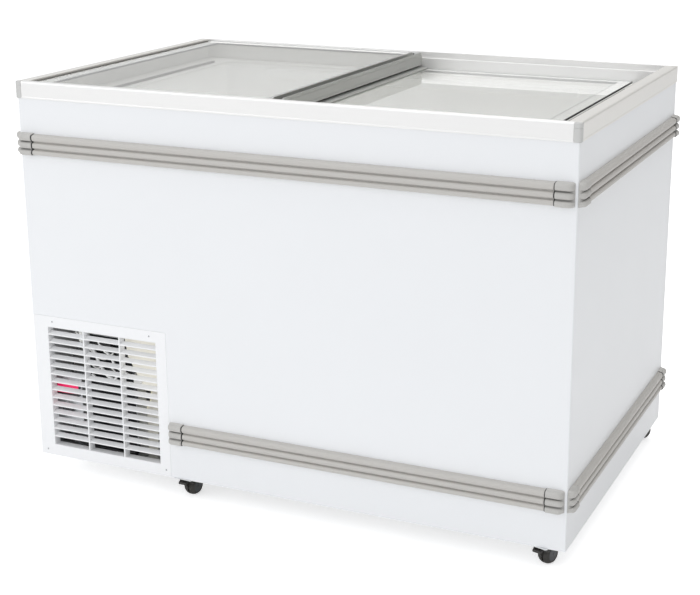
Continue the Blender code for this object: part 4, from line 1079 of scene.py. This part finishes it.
def make_wiring():
    """Foil-wrapped lines, white leads and flexes in front of the coil, routed in millimetres."""
    runs = (
        ("foil_line_1", 0.0038, (118, 318), (136, 300), (150, 268), (172, 246), (196, 238)),
        ("foil_line_2", 0.0032, (146, 326), (160, 306), (176, 296), (190, 272), (214, 262)),
        ("foil_line_3", 0.0028, (128, 246), (150, 232), (182, 240), (206, 262), (222, 258)),
        ("white_lead_1", 0.0018, (90, 338), (104, 322), (128, 300), (158, 284), (186, 302)),
        ("white_lead_2", 0.0016, (94, 336), (120, 280), (140, 262), (166, 270), (200, 250)),
        ("black_flex_1", 0.0030, (74, 236), (86, 290), (120, 312), (168, 318), (210, 292)),
        ("black_flex_2", 0.0036, (70, 120), (80, 90), (110, 74), (170, 70), (230, 78)),
    )
    coverings = {"foil": FOIL, "white": LEAD_WHITE, "black": BLACK_RUBBER}
    for name, radius, *route in runs:
        points = []
        for i, (x, z) in enumerate(route):
            slack = 0.0012 * sin(9 * i + radius * 4000)
            points.append((LEFT + x / 1000, FRONT + 0.0285 + slack, z / 1000))
        covering = name.split("_")[0]
        tube(name, points, radius, coverings[covering])
    soft_box((LEFT + 0.101, FRONT + 0.0225, 0.318), (LEFT + 0.124, FRONT + 0.034, 0.343), 0.003)
    piece("connector_block", LEAD_WHITE)
    soft_box((LEFT + 0.236, FRONT + 0.024, 0.2425), (LEFT + 0.256, FRONT + 0.034, 0.252), 0.002)
    piece("cable_clip", LEAD_WHITE)


def make_control_box():
    """The sheet box with its pocket for the switch, and a strap that stands it on the base."""
    low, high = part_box("control_box")
    bottom, front = 0.122, low.y
    outline = rounded_rectangle((low.x, bottom), (high.x, high.z), 0.003)
    holed_plate([outline, switch_pocket(0.0, 0.0, 0.0015)], "Y", front, front + 0.0012)
    piece("control_face", GALVANISED, replaces="control_box", edge=0.0003)
    inset, skin = 0.0005, 0.0008
    back_low = (low.x + inset, front + 0.0175, bottom + inset)
    soft_box(back_low, (high.x - inset, high.y, high.z - inset), 0.002)
    for x in (low.x + inset, high.x - inset - skin):
        soft_box((x, front + 0.001, bottom + 0.002), (x + skin, front + 0.019, high.z - 0.002), 0.0003, 1)
    for z in (bottom + 0.0008, high.z - 0.0016):
        soft_box((low.x + 0.002, front + 0.001, z), (high.x - 0.002, front + 0.019, z + skin), 0.0003, 1)
    soft_box((LEFT + 0.030, FRONT + 0.070, low.z), (LEFT + 0.086, FRONT + 0.072, bottom + 0.006), 0.0006, 2)
    piece("control_housing", GALVANISED)


def switch_pocket(grow_x, grow_z, radius):
    """A rounded opening round the middle of the rocker."""
    low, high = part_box("power_switch_rocker")
    x, z = (low.x + high.x) / 2, (low.z + high.z) / 2
    half_wide, half_tall = 0.029 + grow_x, 0.012 + grow_z
    return rounded_rectangle((x - half_wide, z - half_tall), (x + half_wide, z + half_tall), radius)


def make_switch():
    """The rocker, its right half pressed in, and the bezel round it."""
    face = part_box("control_box")[0].y
    bezel = [switch_pocket(0.003, 0.003, 0.004), switch_pocket(-0.0012, -0.0008, 0.0015)]
    holed_plate(bezel, "Y", face - 0.002, face + 0.012)
    piece("switch_bezel", KNOB_BLACK, edge=0.0006)
    low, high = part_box("power_switch_rocker")
    shares = [step / 5 for step in range(1, 6)]
    outline = [(-0.0262, 0.0042), (-0.0265, -0.0066), (-0.0252, -0.0074)]
    outline += [(-0.0265 + 0.0265 * share, -0.0074 + 0.0020 * share ** 0.7) for share in shares]
    outline += [(0.0265 * share, -0.0054 + 0.0034 * share ** 1.4) for share in shares] + [(0.0262, 0.0042)]
    middle = (low.x + high.x) / 2
    prism([(middle + a, face + 0.003 + b) for a, b in outline], "Z", low.z, high.z)
    piece("switch_rocker", SWITCH_RED, "power_switch", "power_switch_rocker", edge=0.0006)


def make_knob():
    """The thermostat knob, fluted and with a pointer bar, and the marks round it."""
    low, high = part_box("thermostat_knob")
    centre = Vector(((low.x + high.x) / 2, high.y, (low.z + high.z) / 2))
    flutes = 120
    rings = []
    for radius, along, fluted in (
        (0.0122, 0.0, False), (0.0128, -0.0006, True), (0.0126, -0.0085, True),
        (0.0118, -0.0098, False), (0.0105, -0.0102, False),
    ):
        ring = []
        for i in range(flutes):
            angle, reach = tau * i / flutes, radius - (0.0004 if fluted and i % 2 else 0.0)
            ring.append(centre + Vector((reach * cos(angle), along, reach * sin(angle))))
        rings.append(ring)
    loft(rings)
    pointer = Vector((-0.0013, -0.0113, -0.0105)), Vector((0.0013, -0.0095, 0.0112))
    soft_box(centre + pointer[0], centre + pointer[1], 0.0004, 2)
    piece("knob_moulding", KNOB_BLACK, "thermostat", "thermostat_knob")
    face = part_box("control_box")[0].y
    for number in range(7):
        angle = radians(225 - 45 * number)
        reach = Vector((cos(angle), 0, sin(angle)))
        side = Vector((-reach.z, 0, reach.x)) * 0.0004
        inner, outer = reach * 0.0145, reach * (0.0145 + (0.0035 if number % 3 == 0 else 0.0022))
        corners = (inner - side, inner + side, outer + side, outer - side)
        loft([[Vector((centre.x, face + y, centre.z)) + c for c in corners] for y in (0.0002, -0.0004)])
    piece("dial_marks", KNOB_BLACK)


# Casters

def make_caster(name):
    """A caster, built with its pivot at the origin and its wheel trailing along +X, then put in place."""
    joints = {joint["name"]: joint for joint in frame["joints"]}
    pivot = Vector(joints[name + "_swivel_turn"]["pos_m"])
    axle = Vector(joints[name + "_wheel_roll"]["pos_m"])
    across = Vector(joints[name + "_wheel_roll"]["axis"])
    turn = Matrix.Rotation(atan2(-across.x, across.y), 4, "Z")
    place = Matrix.Translation((pivot.x, pivot.y, 0)) @ turn
    radius, trail = axle.z, (axle - pivot).xy.length
    make_hood(name, place, radius, trail, pivot.z)
    make_wheel(name, place, radius, (trail, 0, radius))
    make_caster_plate(name, place)
    if name + "_brake_lever" in frame["nodes"]:
        make_brake(name, place)


def make_hood(name, place, radius, trail, hood_top):
    """Centre web with an arched roof over both wheels, a neck under the plate and ribs at the back."""
    body = name + "_swivel"
    roof_top, back, clearance = hood_top - 0.0002, -0.0125, 0.0012
    dome = roof_top - radius
    outline = [(back, roof_top), (back, 0.0285), (-0.0045, 0.0205), (trail - 0.009, 0.0165)]
    outline += arc((trail, radius), 0.0095, 215, 360, 10) + arc((trail, radius), dome, 20, 90, 12)
    prism(outline, "Y", -CASTER_WEB, CASTER_WEB)
    roof = [(back, roof_top), (back, hood_top - 0.0085)]
    roof += arc((trail, radius), radius + clearance, 150, 62, 16) + arc((trail, radius), dome, 62, 90, 6)
    prism(roof, "Y", -CASTER_HALF, CASTER_HALF)
    piece(name + "_hood_moulding", CASTER_BLACK, body, name + "_hood", edge=0.0007, turn=place)
    neck_foot, neck_top = hood_top - 0.001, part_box(name + "_plate")[0].z - GAP
    neck = [(0.0, neck_foot), (0.0115, neck_foot), (0.0115, neck_top), (0.0, neck_top)]
    lathe(neck, (0, 0, 0), "Z", 36)
    for step in range(9):
        middle = 0.003 + 0.003 * step - CASTER_HALF
        low = (back, middle - 0.0005, hood_top - 0.0080)
        soft_box(low, (back + 0.0012, middle + 0.0005, hood_top - 0.0012), 0.0004, 2)
    piece(name + "_hood_ribs", CASTER_BLACK, body, turn=place)


def make_wheel(name, place, radius, centre):
    """Twin tyres with a barrel crown, hubs with rounded rims and bosses, and the axle between them."""
    body = name + "_wheel_body"
    inner, outer = CASTER_WEB + 0.0004, CASTER_HALF - 0.0012
    crown = lambda across: radius * (1 - 0.27 * (across / outer) ** 2.4)
    tyre = [inner + (outer - 0.0012 - inner) * step / 9 for step in range(10)]
    shoulder = crown(tyre[-1])
    tread = [(shoulder - 0.0022, inner)] + [(crown(across), across) for across in tyre]
    tread += [(shoulder - 0.0008, outer - 0.0005), (shoulder - 0.0022, outer - 0.0016), tread[0]]
    rim, fillet = shoulder - 0.0024, 0.0018
    hub = [(0.0, inner), (rim, inner), (rim, outer - fillet)]
    hub += [(rim * cos(a), outer - fillet + fillet * sin(a)) for a in (0.25, 0.5, 0.8, 1.1, 1.35)]
    hub += [(0.0, outer)]
    boss = [(0.0, outer + 0.0008), (0.0030, outer + 0.0006), (0.0042, outer - 0.0004), (0.0, outer - 0.0010)]
    turned = lambda profile, side: [(r, side * across) for r, across in profile]
    for side in (-1, 1):
        lathe(turned(tread, side), centre, "Y", 72)
    piece(name + "_tread", TREAD_BLACK, body, name + "_wheel", turn=place)
    for side in (-1, 1):
        lathe(turned(hub, side), centre, "Y", 60)
        lathe(turned(boss, side), centre, "Y", 24)
    piece(name + "_hub", HUB_GREY, body, turn=place)
    reach = inner + 0.001
    lathe([(0.0, -reach), (0.0030, -reach), (0.0030, reach), (0.0, reach)], centre, "Y", 24)
    piece(name + "_axle", ZINC, body, turn=place)


def make_caster_plate(name, place):
    """The mounting plate with its four bolts."""
    low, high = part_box(name + "_plate")
    bolts = [(x, y) for x in (-0.019, 0.019) for y in (-0.016, 0.016)]
    plate = rounded_rectangle((-0.026, -0.023), (0.026, 0.023), 0.004)
    holed_plate([plate] + [arc(bolt, 0.0028, 0, 340, 17) for bolt in bolts], "Z", low.z, high.z)
    piece(name + "_plate_sheet", ZINC, "cabinet", name + "_plate", edge=0.0004, turn=place)
    for bolt in bolts:
        prism(arc(bolt, 0.0042, 0, 300, 5), "Z", low.z - 0.0025, low.z)
    piece(name + "_bolts", ZINC, edge=0.0004, turn=place)


def make_brake(name, place):
    """The brake tab, its free end rounded underneath and bevelled on top."""
    lever = name + "_brake_lever"
    low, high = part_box(lever)
    top, foot = high.z, low.z
    root, tip, half_wide, radius = -0.0137, -0.0255, 0.0095, 0.0022
    outline = [(root, top - 0.001), (root, foot + 0.0016), (root - 0.004, foot + 0.0012)]
    outline += arc((tip + radius, foot + radius), radius, 270, 180, 6)
    outline += [(tip, top - 0.0030), (tip + 0.002, top - 0.0012), (root - 0.003, top)]
    prism(outline, "Y", -half_wide, half_wide)
    piece(lever + "_moulding", CASTER_BLACK, name + "_brake", lever, edge=0.0008, turn=place)


def make_inlet():
    """Strain relief where the mains lead enters, without the lead."""
    low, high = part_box("cord_inlet")
    outer, shank, hole = (high.x - low.x) / 2, 0.0100, 0.0045
    bush = [(hole, -0.012), (shank, -0.012), (shank, -0.0026), (outer, -0.0022), (outer, -0.0008)]
    bush += [(outer - 0.0008, 0.0), (0.0052, 0.0), (hole, -0.0008), (hole, -0.012)]
    lathe(bush, ((low.x + high.x) / 2, high.y, (low.z + high.z) / 2), "Y", 48)
    piece("inlet_bush", BLACK_RUBBER, replaces="cord_inlet")


def dress_frame():
    """Every node gets its slot's material; the three that show are welded and lightly rounded."""
    slots = {part["node"]: part["material_slot"] for part in frame["record"]["subparts"]}
    for name, node in frame["nodes"].items():
        node.data.materials.clear()
        node.data.materials.append(PALETTE[slots[name]])
    for name in ("base_pan", "machine_bulkhead", "fan_motor"):
        node = frame["nodes"][name]
        modify(node, "WELD", merge_threshold=1e-6)
        modify(node, "DECIMATE", decimate_type="DISSOLVE", angle_limit=radians(1))
        modify(node, "BEVEL", width=0.0004, segments=2, limit_method="ANGLE", harden_normals=True)


# Stage, light and camera

def stage():
    """A pale floor that shines mostly for the camera, so it reads white without lighting the base."""
    bpy.ops.mesh.primitive_plane_add(size=30.0, location=(0, 0, 0))
    floor = bpy.context.object
    floor.name = "floor"
    n = Nodes("floor_paper")
    tone = n.blend(n.noise(0.7), (0.93, 0.93, 0.93, 1), (0.95, 0.95, 0.95, 1))
    seen = n.node("ShaderNodeLightPath").outputs["Is Camera Ray"]
    glow = n.spread(seen, 0.10, 0.62, 0.0, 1.0)
    n.set(Base_Color=tone, Roughness=0.9, Emission_Color=(1, 1, 1, 1), Emission_Strength=glow)
    floor.data.materials.append(n.material)


def world_light():
    """A white room, cooler and brighter on the front left, warmer and dimmer on the right and behind."""
    world = bpy.data.worlds.new("white_room")
    bpy.context.scene.world = world
    n = Nodes("white_room", world)
    toward = n.facing(n.place, Vector((-0.55, -0.75, 0.35)).normalized())
    ramp = n.node("ShaderNodeValToRGB", {0: n.spread(toward, 0.0, 1.0, -1.0, 1.0)})
    ramp.color_ramp.elements[0].color = (0.36, 0.352, 0.335, 1)
    ramp.color_ramp.elements[1].color = (1.0, 1.02, 1.05, 1)
    seen = n.node("ShaderNodeLightPath").outputs["Is Camera Ray"]
    n.set(Color=n.blend(seen, ramp.outputs[0], (1.4, 1.4, 1.4, 1)), Strength=0.90)


def softbox(name, place, target, size, power, colour=(1, 1, 1)):
    lamp = bpy.data.lights.new(name, "AREA")
    lamp.shape = "RECTANGLE"
    lamp.size, lamp.size_y = size
    lamp.energy = power
    lamp.color = colour
    made = add(name, lamp)
    made.location = place
    made.rotation_euler = (Vector(target) - Vector(place)).to_track_quat("-Z", "Y").to_euler()


def light_and_camera():
    world_light()
    softbox("key_softbox", (-2.6, -3.4, 2.6), (0, 0, 0.4), (2.6, 2.2), 27.0, (1.0, 0.99, 0.98))
    softbox("top_softbox", (0.3, 0.4, 4.2), (0, 0, 0.8), (4.0, 3.0), 60.0)
    bpy.context.scene.view_settings.view_transform = "Standard"
    lens = bpy.data.cameras.new("photo_camera")
    lens.lens = CAMERA_LENS
    lens.sensor_width = 36.0
    lens.shift_x, lens.shift_y = CAMERA_SHIFT
    camera = add("photo_camera", lens)
    camera.location = CAMERA_EYE
    camera.rotation_euler = (radians(90 - CAMERA_PITCH), 0, radians(CAMERA_YAW))
    bpy.context.scene.camera = camera


dress_frame()
make_front_panel()
make_side_panels()
make_back_panel()
make_top_frame()
make_collar()
make_liner()
make_lids()
make_bumpers()
make_grille()
make_condenser()
make_shroud()
make_fan()
make_compressor()
make_wiring()
make_control_box()
make_switch()
make_knob()
for corner in ("front_left", "front_right", "back_left", "back_right"):
    make_caster(corner + "_caster")
make_inlet()
stage()
light_and_camera()
